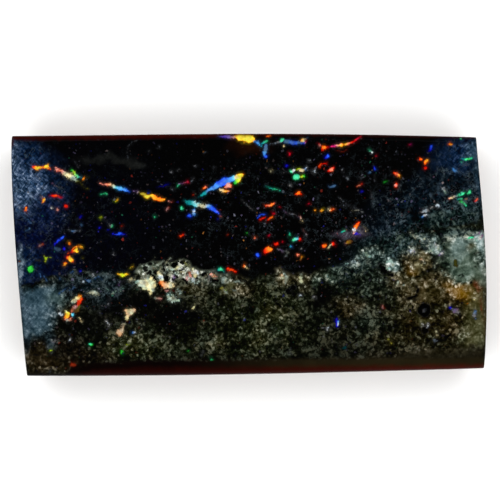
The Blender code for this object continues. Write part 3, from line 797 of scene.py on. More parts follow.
    *flecks("white", 0.8, (327.2, 328.6, 2.8), (288.7, 351.8, 3)),
    seam("white", 0.6, (314.2, 297.4, 2.4)),
    seam("white", 0.5, (299.8, 295.6, 2.4)),
    seam("rose rust", 0.3, (382.5, 307.3, 4.4)),
    seam("teal", 0.08, (342, 349.4, 3.6), (344.6, 347, 4.4)),
    seam("white", 1.0, (426.9, 325, 3.2)),
    seam("white", 0.7, (422, 324.2, 2.2)),
    seam("cream", 0.45, (436, 331, 2), (436.6, 335, 2.2)),
    seam("grey", 0.25, (432.6, 339.6, 4), (435, 340.6, 4)),
    seam("olive", 0.9, (390.7, 343, 2.8)),
    seam("olive", 0.7, (388, 338.6, 3)),
    seam("cream", 0.3, (389, 335.4, 2.6)),
    seam("grey mauve grey", 0.45, (451.6, 308.6, 3), (455, 310.4, 6), (457.4, 312.4, 3.6)),
    seam("indigo", 1.0, (449.4, 307.2, 2.8), (451, 308.4, 1.8)),
    seam("steel grey steel", 0.8, (474.2, 310.6, 3), (474.6, 315, 4.4), (475.4, 318.6, 2.4)),
    seam("amber", 0.5, (467.5, 303.5, 2)),
    # Pale bits of the sponge, and its holes
    seam(
        "milk chalk ivory ivory chalk", 1.0, (137, 282, 3), (142, 283.6, 8.4), (147.4, 284, 12.6),
        (152.6, 284.4, 9), (153.4, 290, 4),
    ),
    seam("chalk stone", 0.7, (148, 279, 4), (145.6, 274, 2.4)),
    *seams("ivory", 1.0, ((151.6, 280, 5), (151.6, 275.6, 2)), ((151.4, 289.6, 5), (151, 294.4, 2.4))),
    seam("stone rose", 0.55, (156, 297.6, 3), (160.4, 299, 3)),
    *seams(
        "pit", 1.0, ((152.4, 274, 2.6), (155.4, 278, 3.8), (157.4, 281.6, 2.6)),
        ((167.3, 275.8, 2.6), (166.6, 278.8, 5.6)), ((172, 265.4, 3.6), (176, 264, 4.4)),
        ((181.4, 269, 2.2), (183.4, 268.6, 2)), ((202.4, 275, 4.6), (206.4, 273.4, 3.4)),
        ((213, 279.4, 4), (217.6, 281, 4.4)), ((183, 279.8, 3.4), (188.6, 283, 4.4)),
        ((158.6, 284.4, 2.6), (160, 288, 3)),
    ),
    *seams(
        "ivory white ivory", 1.0, ((159.6, 273.6, 4), (161, 277, 5), (162.4, 280.4, 3.6)),
        ((193.6, 268.6, 3.4), (196, 272.4, 4.6), (194.8, 276, 4.4)),
    ),
    seam(
        "orange peach cream cream", 0.9, (162.4, 282.6, 5), (165.4, 285, 6.4), (170, 284.4, 6.6),
        (172.4, 284.6, 6),
    ),
    seam("stone chalk white mauve", 0.9, (168.6, 273, 2), (171.6, 275.6, 4), (174, 277, 4.4)),
    seam("umber", 1.0, (164.4, 289, 2.4), (168, 287.9, 2.2), (171.6, 288.6, 2.2), (173.8, 291.6, 2.8)),
    seam("rose stone", 0.5, (167, 290.6, 3), (170.4, 292.2, 3)),
    seam(
        "stone chalk", 0.75, (177, 293.4, 1.6), (176, 291.2, 1.6), (178, 289.4, 1.8),
        (180.2, 291.2, 1.8), (179.4, 293.6, 1.6),
    ),
    seam(
        "milk chalk milk", 0.9, (167.4, 294.6, 2.6), (168.6, 298.4, 3.6), (172.6, 301, 3.6),
        (178.6, 299.4, 3),
    ),
    seam("milk stone chalk", 0.75, (171, 295, 3), (174.6, 297.2, 4), (176.6, 296.2, 2)),
    *flecks(
        "pit", 1.0, (164, 269, 4.8), (177.3, 276.8, 3.4), (182.3, 274.2, 2.8), (186.5, 270.2, 2.8),
        (196.6, 279, 3.6), (169.4, 271, 2.2),
    ),
    seam("stone", 0.62, (147, 268.6, 2.4), (151, 267.2, 3.8), (155.6, 269.4, 2.6)),
    seam("stone", 0.8, (141.8, 271, 2.4)),
    seam("stone", 0.5, (155.6, 263.6, 1.6), (160, 262.6, 2.8), (164.4, 260.6, 2.4)),
    *seams(
        "stone", 0.6, ((165.4, 263.6, 2), (168.4, 260.4, 2.4), (172, 257.6, 1.8)),
        ((202.6, 287.4, 2.4), (203.4, 281.4, 3.4), (205.6, 277.4, 3), (209, 272.4, 2.4)),
        ((129.6, 280.6, 3), (133.6, 278.4, 3)),
    ),
    seam("stone", 0.25, (152, 260.4, 1.2), (156, 256.6, 1.2)),
    seam(
        "stone chalk", 0.62, (160.6, 267, 2), (160.8, 271.2, 2.2), (165.6, 272.6, 2.2),
        (168, 268.4, 2.2), (165, 265.6, 1.8),
    ),
    seam("chalk ivory chalk", 0.95, (171.6, 269.6, 2.2), (175.6, 268.2, 3), (181.6, 266.4, 2.2)),
    seam("chalk ivory", 0.85, (175, 271.6, 2), (180, 271.6, 2.4), (184.6, 271.8, 2.4)),
    seam("olive stone", 0.62, (184.4, 262.4, 2), (188.4, 265.2, 4.4), (191.4, 266.8, 3)),
    seam("chalk", 0.9, (183.8, 265.6, 2.4), (187.4, 267.6, 2)),
    seam("chalk stone", 0.85, (174.6, 273.2, 1.8), (179.8, 274.8, 1.8), (179.6, 279, 2)),
    seam("chalk rose chalk", 0.8, (184.6, 275.6, 2.4), (187.4, 279, 3), (191, 281.4, 2.6)),
    seam("brown rose", 0.9, (190, 272.4, 3.4), (190.4, 275.8, 3.4)),
    seam("white chalk", 0.8, (192.4, 278.4, 3), (194.4, 282, 2.6)),
    seam("chalk", 0.75, (199, 281.4, 2.4), (197.4, 283.4, 2)),
    seam("grey stone", 0.5, (209, 275.6, 3.4), (209.6, 280, 3), (207.6, 284.6, 2.4)),
    seam("rose peach rose", 0.85, (211.8, 274.4, 2.2), (217.4, 276.6, 2.4)),
    seam("stone chalk stone", 0.62, (221, 277, 4), (224.4, 279.4, 6.4), (226.6, 281.6, 3)),
    seam("stone chalk", 0.7, (231.6, 281.6, 1.8), (237, 281, 2.6), (242.6, 281.6, 1.8)),
    seam("olive stone", 0.7, (222.6, 288, 4), (226, 291, 5)),
    seam("white", 1.0, (236, 291.2, 2.6)),
    seam("stone", 0.35, (232.6, 288, 3), (238.6, 293, 3.4)),
    seam("ivory", 0.8, (195, 304.8, 1.8), (192.8, 308.2, 2.4)),
    seam("stone", 0.5, (200, 310.7, 2.6)),
    seam("chalk ivory stone", 0.55, (127.4, 279, 1.6), (132, 277.4, 2.4), (136, 279.4, 2)),
    seam("chalk stone", 0.8, (284, 272, 2), (286.4, 277, 3.6), (284.6, 283, 3)),
    seam("peach ivory stone", 0.7, (281.8, 274.6, 3), (285, 279.4, 3)),
    seam("stone ivory stone", 0.65, (301.6, 274, 2.2), (300.6, 279, 3.4), (303.6, 284.6, 2)),
    seam("milk", 0.45, (327.6, 275.6, 2.4), (330.4, 279, 3)),
    seam("milk", 0.4, (336, 270.4, 1.6), (341, 268.6, 2.2)),
    # Pale bits in front of the haze, from left to right
    seam("milk white", 0.55, (345.4, 264, 2), (352, 261.6, 2.6), (358, 262.6, 1.8)),
    seam("milk", 0.6, (366, 252.6, 3), (369.6, 256.6, 4)),
    seam("milk chalk", 0.8, (386.6, 262.4, 2), (390.6, 261.4, 3.4), (392.4, 264.6, 2.4)),
    seam("milk", 0.8, (387, 268, 2.4), (389.6, 269.4, 3)),
    seam("white", 1.0, (389.3, 269.8, 2.4)),
    seam("grey white grey", 0.85, (408, 250.4, 2.4), (411, 251.2, 4.6), (414, 250.6, 2.4)),
    seam("blue", 0.25, (414.6, 251.6, 2)),
    seam("chalk stone", 0.7, (410.4, 232, 1.6), (412.4, 236, 2), (415, 239.4, 1.4)),
    seam("stone chalk", 0.8, (421, 239.4, 2), (425, 238.4, 3)),
    seam("milk white milk", 0.7, (434, 239, 1.8), (434.6, 244, 3.4), (437, 249.6, 4)),
    seam("chalk milk", 0.8, (427, 251.4, 2.6), (431, 250.4, 3.2)),
    seam("mauve white", 0.9, (439, 254.6, 2.6), (441.8, 253, 2.6)),
    *flecks("chalk", 0.7, (447, 241.4, 3), (386.2, 280, 2.2)),
    seam("ivory", 1.0, (416, 264.4, 2.4)),
    *flecks("ivory", 0.9, (421.6, 264.8, 2.4), (459.5, 285.4, 2.2)),
    seam("peach chalk", 0.7, (420.4, 257.6, 3), (423.4, 262, 3)),
    seam("chalk", 0.6, (432.4, 264, 1.6), (434, 268, 1.8)),
    seam("chalk stone", 0.75, (440.6, 271.4, 1.8), (445.6, 274.6, 2)),
    seam("chalk", 0.9, (380.2, 280.2, 2.4)),
    seam("chalk", 0.9, (396.8, 281, 2), (396.4, 284.4, 2.4)),
    seam("chalk", 0.6, (403.4, 284, 2.2)),
    seam("milk white mauve", 0.75, (475.6, 239.6, 4), (479.4, 237.6, 5.4), (481.6, 235.4, 3)),
    seam("mauve", 0.9, (474.6, 234, 2), (479.4, 233.6, 2.4)),
    seam("ivory", 0.8, (474.2, 299.2, 2.2)),
    seam("stone", 0.5, (483.2, 290, 1), (483.6, 300, 1.4), (484, 316, 1.2)),
    seam("rust", 0.5, (480, 298, 1), (480.4, 306, 2), (480.6, 313, 1)),
    seam(
        "pit", 1.0, (419.6, 307.6, 5), (419, 312.4, 5), (423.4, 315, 5), (428, 311.8, 5),
        (427.4, 306.6, 5), (423, 304.6, 5), (419.6, 307.6, 5),
    ),
    seam("grey", 0.14, (423.4, 309.8, 5)),
    *flecks(
        "pit", 1.0, (424.4, 329.6, 6), (288.5, 292, 4.4), (455.4, 260, 2), (470.4, 281.8, 3.8),
        (473.6, 265.8, 2.4),
    ),
    *seams(
        "pit", 1.0,
        ((408, 306.6, 2), (410.4, 303.8, 2), (413, 306.6, 2), (410.6, 309.4, 2), (408, 306.6, 2)),
        ((293, 288.3, 5), (296, 286.6, 3)), ((276.8, 303.6, 3.4), (280.4, 306.4, 4)),
        ((380.6, 266, 4), (383.4, 269.6, 6.4), (386, 272, 4)), ((389.4, 275.6, 4), (392.6, 276, 4.4)),
        ((457.8, 275, 2), (460.6, 273.4, 2), (463.4, 275.4, 2), (460.8, 277.2, 2)),
        ((473, 252.4, 1.8), (479.6, 252.2, 2)), ((416, 293.6, 3), (418.6, 289, 3)),
        ((408, 298.4, 3), (412.6, 297.4, 3.6), (417, 296, 3)), ((366.4, 297, 3), (371, 299, 2.4)),
        ((400.6, 315, 2.6), (403.4, 318, 3)), ((437, 322.6, 3), (441, 326, 2.6)),
        ((445, 338, 3.4), (449.4, 334.4, 2.6)), ((249, 309, 2.6), (252.6, 311.6, 2.6)),
        ((222, 331, 3), (226.4, 333, 2.6)),
    ),
    seam("olive", 0.3, (410.5, 306.6, 3)),
    seam("olive", 0.22, (455.2, 260.6, 4), (455, 264.8, 5)),
    # Bits in the blue-grey net on the left
    seam("steel", 0.75, (86, 279.4, 3), (90, 281.4, 4.4)),
    *seams(
        "steel", 0.6, ((95, 279, 1.4), (98.6, 275.8, 1.8), (102.6, 279.6, 1.4)),
        ((71, 289, 2), (74, 286.4, 1.6)), ((58, 275.4, 1.4), (60.6, 278.8, 2)),
    ),
    *seams(
        "steel", 0.7, ((58.4, 295, 1.8), (64, 290.4, 2.4), (67.4, 287.6, 1.6)),
        ((40.4, 272.6, 1.6), (42.4, 277.6, 1.8)), ((44.4, 275, 1.6), (47.4, 280.4, 1.8)),
    ),
    seam("steel sky", 0.5, (71.4, 272.6, 1.6), (74.6, 270.8, 2)),
    seam("milk", 0.35, (106, 287.6, 1.6), (109.6, 290.8, 2)),
    *seams("milk", 0.4, ((113.4, 293.4, 2.8), (116, 292, 2)), ((119, 293, 1.6), (122.4, 288.4, 2.2))),
    seam("mauve grey", 0.45, (119, 286, 1.6), (121, 282.4, 2), (124, 281.4, 1.6)),
    seam("grey", 0.7, (109.2, 304.2, 3)),
    seam("grey", 0.5, (110, 299.4, 2.2)),
    seam("grey", 0.3, (100, 312, 1.6), (101.6, 314, 1.6)),
]
FLASH_REACH = 6.0  # tenths of a millimetre past a flash where its colour and distance are kept


def smooth_step(low, high, value):
    """0 below low, 1 above high, and between them t * t * (3 - 2t) with t the share of the way."""
    share = np.clip((value - low) / (high - low), 0.0, 1.0)
    return share * share * (3.0 - 2.0 * share)


def lattice_values(corners, seed):
    """A repeatable random number from -1 to 1 for each whole-numbered corner of a lattice: its
    three numbers are multiplied by large primes, added, and their bits are mixed."""
    mixed = (corners * np.array((73856093, 19349663, 83492791))).sum(-1) + seed * 374761393
    mixed = (mixed ^ (mixed >> 13)) * 1274126177
    mixed = (mixed ^ (mixed >> 16)) & 0xFFFFFF
    return mixed / 0x7FFFFF - 1.0


def lumps(points, size, seed):
    """Smooth random relief from -1 to 1: each point mixes the values of the eight lattice
    corners round it, by its eased share of the way between them."""
    scaled = points / size
    cell = np.floor(scaled).astype(np.int64)
    share = scaled - cell
    share = share * share * (3.0 - 2.0 * share)
    total = np.zeros(len(points))
    for corner in np.ndindex(2, 2, 2):
        weight = np.where(corner, share, 1.0 - share).prod(-1)
        total += weight * lattice_values(cell + corner, seed)
    return total


# Share of its screen colour that the face is painted with under the stage's bright lights
PAINT_SHARE = 0.72


def as_light(colour):
    """Amounts of light for a screen colour from 0 to 255: each channel c / 255 to the power 2.2."""
    return (np.array(colour, float) / 255.0) ** 2.2


def side_points(side, share):
    """Points along a side: its chord, plus outwards bow * sin(pi * share ** skew), less the
    rounding r - sqrt(r * r - s * s) within a corner radius r of its ends, with s = r - distance."""
    chord = side.end - side.start
    length = np.linalg.norm(chord)
    along = chord / length
    outward = np.array((-along[1], along[0])) * side.outward
    corner_reach = CORNER_RADIUS * (1.0 - np.cos(np.pi / 4))
    distance = corner_reach + share * (length - 2.0 * corner_reach)
    from_corner = np.minimum(distance, length - distance)
    short = np.clip(CORNER_RADIUS - from_corner, 0.0, CORNER_RADIUS)
    rounding = CORNER_RADIUS - np.sqrt(CORNER_RADIUS**2 - short**2)
    bow = side.bow * np.sin(np.pi * share**side.skew)
    return side.start + np.outer(distance, along) + np.outer(bow - rounding, outward)


def roll_shares(width, length):
    """Shares of a length at which a rim is cut: width * (1 - sin(turn)) / length, with the turn
    going from a quarter circle down to 0, so the cuts are closer together near the edge."""
    turn = np.linspace(np.pi / 2, 0.0, ROLL_STEPS + 1)
    return width / length * (1.0 - np.sin(turn))


def line_shares(first_width, last_width, length, steps):
    """Places of the grid lines between two opposite rims, as shares from 0 to 1."""
    first = roll_shares(first_width, length)
    last = 1.0 - roll_shares(last_width, length)[::-1]
    middle = np.linspace(first[-1], last[0], steps + 1)[1:-1]
    return np.concatenate((first, middle, last))


def rolled_drop(distance, side):
    """Fall of a rim at a distance d from its side: h * (1 - sqrt(1 - (1 - d / w) ** 2)), a
    quarter of an ellipse of width w and height h."""
    inside = np.clip(1.0 - distance / side.roll_width, 0.0, 1.0)
    return side.roll_drop * (1.0 - np.sqrt(1.0 - inside**2))


def crowned_height(x, y):
    """Height of the face without its rims: thickness less a parabola each way."""
    return THICKNESS - CROWN_LONG * (2 * x / LENGTH) ** 2 - CROWN_SHORT * (2 * y / WIDTH) ** 2


def face_grid():
    """The polished face as rows of points from back to front. Its plan is the patch that the
    four sides span: the mix of back and front, plus the mix of left and right, less the mix of
    the four corners. Its height is the crown less the drop of each rim and the pits."""
    across = line_shares(LEFT.roll_width, RIGHT.roll_width, LENGTH, ALONG_STEPS)
    down = line_shares(BACK.roll_width, FRONT.roll_width, WIDTH, ACROSS_STEPS)
    u = across[None, :, None]
    v = down[:, None, None]
    back, front = side_points(BACK, across), side_points(FRONT, across)
    left, right = side_points(LEFT, down), side_points(RIGHT, down)
    flat = (1 - v) * back + v * front + (1 - u) * left[:, None] + u * right[:, None]
    flat -= (1 - u) * ((1 - v) * back[0] + v * front[0])
    flat -= u * ((1 - v) * back[-1] + v * front[-1])
    height = crowned_height(flat[..., 0], flat[..., 1])
    height -= rolled_drop(across * LENGTH, LEFT) + rolled_drop((1 - across) * LENGTH, RIGHT)
    height -= rolled_drop(down * WIDTH, BACK)[:, None]
    height -= rolled_drop((1 - down) * WIDTH, FRONT)[:, None]
    points = np.dstack((flat, height)).reshape(-1, 3)
    points[:, 2] -= pit_depths(points)
    return points.reshape(*height.shape, 3), across, down


def pit_depths(points, wider=0.0):
    """Depth of the pits at points of the face: depth * (1 - (r / mouth) ** 2) within each mouth,
    with r bent by random relief so that no mouth is a true circle. The mouths can be widened."""
    level = points * (1.0, 1.0, 0.0)
    ragged = PIT_RAGGED * lumps(level, PIT_RAGGED_SIZE, PIT_SEED)
    depth = np.zeros(len(points))
    for pit in PITS:
        middle = np.array((pit.x, pit.y)) * MM
        reach = np.linalg.norm(points[:, :2] - middle, axis=1) + ragged
        bowl = pit.depth * MM * (1.0 - (reach / (pit.mouth * MM + wider)) ** 2)
        depth = np.maximum(depth, bowl)
    return depth


def rim_order(rows, columns):
    """Index of each grid point round the rim, anticlockwise seen from above."""
    index = np.arange(rows * columns).reshape(rows, columns)
    return np.concatenate((index[-1, :-1], index[:0:-1, -1], index[0, :0:-1], index[:-1, 0]))


def to_spine(points):
    """Level vectors from points to the nearest place on a line along the middle of the stone."""
    spine_reach = (LENGTH - WIDTH) / 2
    spine_x = np.clip(points[:, 0], -spine_reach, spine_reach)
    return np.column_stack((spine_x - points[:, 0], -points[:, 1], np.zeros(len(points))))


def ledge_depth(points):
    """How much deeper the long walls are cut where plates broke away: each ledge's depth times
    an eased step at its two ends and at its top."""
    deeper = np.zeros(len(points))
    for ledge in LEDGES:
        start, end, top = ledge.from_x * MM, ledge.to_x * MM, ledge.top * MM
        cut = smooth_step(start, start + LEDGE_SOFTNESS, points[:, 0])
        cut *= smooth_step(-end, -end + LEDGE_SOFTNESS, -points[:, 0])
        cut *= smooth_step(-top, -top + LEDGE_SOFTNESS, -points[:, 2])
        deeper += ledge.depth * MM * cut * (points[:, 1] * ledge.side > WIDTH / 4)
    return deeper


def rough_share(points):
    """0 in the sawn band under the face and 1 below it, past an edge that wanders up and down."""
    wander = lumps(points * (1.0, 1.0, 0.0), SAWN_WANDER_SIZE, RELIEF_SEED)
    sawn_edge = THICKNESS - SAWN_DEPTH - SAWN_SWING * (wander + 0.4)
    return smooth_step(-sawn_edge, -sawn_edge + SAWN_EDGE_SOFTNESS, -points[:, 2])


def weathering(points):
    """How far the walls have worn back: relief in two sizes where they are rough, the ledges,
    and finer relief that is always inwards."""
    relief = 0.25
    for order, (share, size) in enumerate(zip(ROUGH_SHARES, ROUGH_SIZES)):
        relief = relief + share * lumps(points, size, RELIEF_SEED + 1 + order)
    rough = rough_share(points)
    fine = 0.0
    for order, (depth, size) in enumerate(zip(FINE_DEPTHS, FINE_SIZES)):
        fine = fine + depth * (0.5 + 0.5 * lumps(points, size, FINE_SEED + order))
    return rough * (ROUGH_RELIEF * np.clip(relief, 0.0, 1.0) + fine) + ledge_depth(points)


def wall_rings(rim):
    """Rings of points from the rim down to the edge of the base: each is the rim at a share of
    its height, moved inwards by the taper, the rounding of the lower edge and the weathering."""
    inward = to_spine(rim)
    inward /= np.linalg.norm(inward, axis=1, keepdims=True)
    above_roll = 1.0 - BASE_ROLL / THICKNESS
    in_roll_shares = 1.0 - BASE_ROLL / THICKNESS * BASE_ROLL_CUTS
    shares = [*np.linspace(0.0, above_roll, WALL_STEPS)[1:], *in_roll_shares]
    rings = []
    for share in shares:
        ring = rim * (1.0, 1.0, 1.0 - share)
        in_roll = np.clip(1.0 - ring[:, 2] / BASE_ROLL, 0.0, 1.0)
        rounding = BASE_ROLL * (1.0 - np.sqrt(1.0 - in_roll**2)) / 2
        inset = WALL_TAPER * share + rounding + weathering(ring)
        rings.append(ring + inward * inset[:, None])
    return rings


def base_rings(edge):
    """Rings of points in from the edge of the base: each is the edge moved a share of the way to
    the stone's spine, and raised where relief leaves a hollow that the grinding did not reach."""
    inward = to_spine(edge)
    first, last = 0.10, BASE_RING_SHARES[-1]
    rings = []
    for share in BASE_RING_SHARES:
        ring = edge + inward * share
        level = ring * (1.0, 1.0, 0.0)
        hollow = smooth_step(*HOLLOW_EDGE, lumps(level, HOLLOW_SIZE, HOLLOW_SEED))
        fade = smooth_step(0.0, last - first, last - share)
        edge_fade = smooth_step(0.0, first, share)
        fine = 0.5 + 0.5 * lumps(level, FINE_SIZES[0], FINE_SEED + 3)
        ring[:, 2] = (HOLLOW_DEPTH + FINE_DEPTHS[0] * fine) * hollow * fade * edge_fade
        rings.append(ring)
    return rings


def chipped(points):
    """Points with the chips taken out: what lies in a ball goes straight out to its surface."""
    for chip in CHIPS:
        centre = np.array((chip.x, chip.y, chip.z)) * MM
        radius = chip.radius * MM
        away = points - centre
        distance = np.linalg.norm(away, axis=1, keepdims=True)
        points = np.where(distance < radius, centre + away * (radius / distance), points)
    return points


def shell_faces(rows, columns, rings):
    """Faces of the shell: quads of the grid, bands between the rings, and a base closed by
    strips between its front and back edges and one flat face at each end."""
    grid = np.arange(rows * columns).reshape(rows, columns)
    face = np.stack((grid[1:, :-1], grid[1:, 1:], grid[:-1, 1:], grid[:-1, :-1]), -1)
    order = rim_order(rows, columns)
    count = len(order)
    loops = rows * columns + np.arange(rings * count).reshape(rings, count)
    loops = np.vstack((order, loops))
    upper, lower = loops[:-1], loops[1:]
    after = (np.roll(lower, -1, axis=1), np.roll(upper, -1, axis=1))
    band = np.stack((upper, lower, *after), -1)
    loop = loops[-1]
    turn = columns + rows - 2
    front = loop[:columns]
    right = loop[columns - 1 : turn + 1]
    back = loop[turn : turn + columns][::-1]
    left = np.append(loop[:1], loop[: turn + columns - 2 : -1])
    strip = np.stack((back[1:-2], back[2:-1], front[2:-1], front[1:-2]), -1)
    quads = np.concatenate((face.reshape(-1, 4), band.reshape(-1, 4), strip)).tolist()
    left_end = [front[1], *left, back[1]]
    right_end = [back[-2], *right[::-1], front[-2]]
    return quads + [[int(i) for i in left_end], [int(i) for i in right_end]]


def marks_place(points):
    """Marks' coordinates of points on the face: right and down in tenths of a millimetre."""
    return (points[:, 0] + MARKS_LEFT) / TENTH, (MARKS_BACK - points[:, 1]) / TENTH


def bent_marks_place(points, bends, seeds):
    """Marks' coordinates of points on the face, bent by random relief in several sizes so that
    no edge of a mark is smooth."""
    level = points * (1.0, 1.0, 0.0)
    right, down = marks_place(points)
    for number, (size, reach) in enumerate(bends):
        right = right + reach * lumps(level, size, seeds[0] + number)
        down = down + reach * lumps(level, size, seeds[1] + number)
    return right, down


def rock_values(rock):
    """Colour and textures of a kind of rock as one row: three amounts of light, then grain,
    streak, pores, threads and specks."""
    kind = ROCKS[rock]
    textures = (kind.grain, kind.streak, kind.pores, kind.threads, kind.specks)
    return np.array((*(PAINT_SHARE * as_light(kind.colour)), *textures))


def wash_weight(wash, right, down):
    """How much of a wash lies at each point: its strength times an eased step down across the
    oval's edge, where the distance from its middle, in half widths, passes 1."""
    turn = math.radians(wash.turn)
    across, along = right - wash.right, down - wash.down
    x = across * math.cos(turn) - along * math.sin(turn)
    y = across * math.sin(turn) + along * math.cos(turn)
    distance = np.hypot(x / wash.wide, y / wash.tall)
    return wash.strength * smooth_step(-1.0 - wash.soft, -1.0 + wash.soft, -distance)


def painted_rock(points):
    """What shows at each point of the face: potch, then its washes, then the matrix in front of
    its edge, then the washes on that, each mixed in by its weight."""
    right, down = bent_marks_place(points, WASH_BENDS, WASH_SEEDS)
    values = np.tile(rock_values("potch"), (len(points), 1))
    for wash in POTCH_WASHES:
        weight = wash_weight(wash, right, down)[:, None]
        values += weight * (rock_values(wash.rock) - values)
    edge_right, edge_down = np.array(MATRIX_EDGE, float).T
    edge = np.interp(right, edge_right, edge_down)
    weight = smooth_step(-MATRIX_SOFT, MATRIX_SOFT, down - edge)[:, None]
    values += weight * (rock_values("matrix") - values)
    for wash in MATRIX_WASHES:
        weight = wash_weight(wash, right, down)[:, None]
        values += weight * (rock_values(wash.rock) - values)
    return values


def spread_colours(names, share):
    """Amounts of light at shares of the way along evenly spread named colours."""
    lights = np.array([as_light(FLASH_COLOURS[name]) for name in names.split()])
    if len(lights) == 1:
        return np.tile(lights, (len(share), 1))
    stops = np.linspace(0.0, 1.0, len(lights))
    return np.column_stack([np.interp(share, stops, lights[:, channel]) for channel in range(3)])


def nearest_on_flash(flash, right, down):
    """For points: how deep they lie inside a flash, negative outside it, and their share of the
    way along it. A flash is a chain of segments whose half width changes evenly between places."""
    places = np.array(flash.places, float)
    if len(places) == 1:
        places = np.vstack((places, places + (0.01, 0.0, 0.0)))
    depth = np.full(len(right), -1e9)
    share = np.zeros(len(right))
    for number, (here, after) in enumerate(zip(places, places[1:])):
        run = after[:2] - here[:2]
        step = (right - here[0]) * run[0] + (down - here[1]) * run[1]
        step = np.clip(step / (run @ run), 0.0, 1.0)
        gap = np.hypot(right - here[0] - step * run[0], down - here[1] - step * run[1])
        inside = (here[2] + step * (after[2] - here[2])) / 2 - gap
        better = inside > depth
        depth = np.where(better, inside, depth)
        share = np.where(better, (number + step) / (len(places) - 1), share)
    return depth, share


def flash_values(points):
    """Colour and depth of the nearest flash at each point of the face, the depth in tenths of a
    millimetre. Where flashes meet, the one that the point is deepest in wins."""
    right, down = bent_marks_place(points, FLASH_BENDS, FLASH_SEEDS)
    stray = STRAY_SHARE * lumps(points * (1.0, 1.0, 0.0), STRAY_SIZE, STRAY_SEED)
    colour = np.zeros((len(points), 3))
    depth = np.full(len(points), -FLASH_REACH)
    for flash in FLASHES:
        places = np.array(flash.places, float)
        low, high = places[:, :2].min(0), places[:, :2].max(0)
        reach = FLASH_REACH + places[:, 2].max() / 2
        near = (right > low[0] - reach) & (right < high[0] + reach)
        near &= (down > low[1] - reach) & (down < high[1] + reach)
        near = np.flatnonzero(near)
        inside, share = nearest_on_flash(flash, right[near], down[near])
        wins = inside > depth[near]
        near = near[wins]
        depth[near] = inside[wins]
        place = np.clip(share[wins] + stray[near], 0.0, 1.0)
        colour[near] = spread_colours(flash.colours, place) * flash.light * PAINT_SHARE
    return colour, depth


def skin_on_face(across, down):
    """How deep each point of the face lies inside the ironstone rims, in millimetres: each rim's
    width less the distance from its side, and the deepest of the four."""
    from_back, from_front = down * WIDTH / MM, (1 - down) * WIDTH / MM
    from_left, from_right = across * LENGTH / MM, (1 - across) * LENGTH / MM
    back_rim = np.interp(across, *BACK_SKIN)
    front_rim = np.interp(across, *FRONT_SKIN)
    inside = np.maximum(front_rim - from_front[:, None], back_rim[None] - from_back[:, None])
    left_rim = np.interp(down, *LEFT_SKIN)
    ends = np.maximum(left_rim[:, None] - from_left[None], RIGHT_SKIN_WIDTH - from_right[None])
    return np.maximum(inside, ends)


def polish_share(points, across, down):
    """How well each point of the face is polished: 1 on its level part, falling to 0 where the
    rims roll over and towards the pits."""
    shares = []
    for places, length, first, last in ((down, WIDTH, BACK, FRONT), (across, LENGTH, LEFT, RIGHT)):
        from_first = places * length / first.roll_width
        from_last = (1 - places) * length / last.roll_width
        shares.append(smooth_step(*POLISH_START, np.minimum(from_first, from_last)))
    level = shares[0][:, None] * shares[1][None]
    return level.ravel() * smooth_step(*PIT_POLISH_END, -pit_depths(points, PIT_MARGIN))


def stone_points():
    """All points of the stone's shell, with the number of grid rows, columns and rings."""
    grid, across, down = face_grid()
    rows, columns = grid.shape[:2]
    rim = grid.reshape(-1, 3)[rim_order(rows, columns)]
    walls = wall_rings(rim)
    rings = walls + base_rings(walls[-1])
    below = chipped(np.concatenate(rings))
    points = np.concatenate((grid.reshape(-1, 3), below))
    return np.clip(points, BOX_LOW, BOX_HIGH), (rows, columns, len(rings)), (across, down)


def keep_values(mesh, name, values):
    """Stores one row of one, three or four numbers for each point of a mesh."""
    if values.ndim == 1:
        mesh.attributes.new(name, "FLOAT", "POINT").data.foreach_set("value", values)
        return
    padded = np.ones((len(values), 4))
    padded[:, : values.shape[1]] = values
    mesh.attributes.new(name, "FLOAT_COLOR", "POINT").data.foreach_set("color", padded.ravel())


def stone_mesh():
    """The stone's mesh, with the numbers that its material reads kept at its points."""
    points, (rows, columns, rings), (across, down) = stone_points()
    mesh = bpy.data.meshes.new("polished_boulder_opal")
    mesh.from_pydata(points, [], shell_faces(rows, columns, rings))
    mesh.validate()
    mesh.shade_smooth()
    on_face = rows * columns
    rock = np.tile(rock_values("potch"), (len(points), 1))
    rock[:on_face] = painted_rock(points[:on_face])
    colour = np.zeros((len(points), 3))
    depth = np.full(len(points), -FLASH_REACH)
    colour[:on_face], depth[:on_face] = flash_values(points[:on_face])
    skin = np.full(len(points), WALL_SKIN_DEPTH)
    skin[:on_face] = skin_on_face(across, down).ravel()
    rough = np.zeros(len(points))
    rough[on_face:] = rough_share(points[on_face:])
    polish = np.zeros(len(points))
    polish[:on_face] = polish_share(points[:on_face], across, down)
    keep_values(mesh, "polish", polish)
    keep_values(mesh, "rock_colour", rock[:, :3])
    keep_values(mesh, "rock_texture", rock[:, 3:7])
    keep_values(mesh, "specks", rock[:, 7])
    keep_values(mesh, "flash_colour", colour)
    keep_values(mesh, "flash_depth", depth)
    keep_values(mesh, "skin_depth", skin)
    keep_values(mesh, "rough_share", rough)
    return mesh


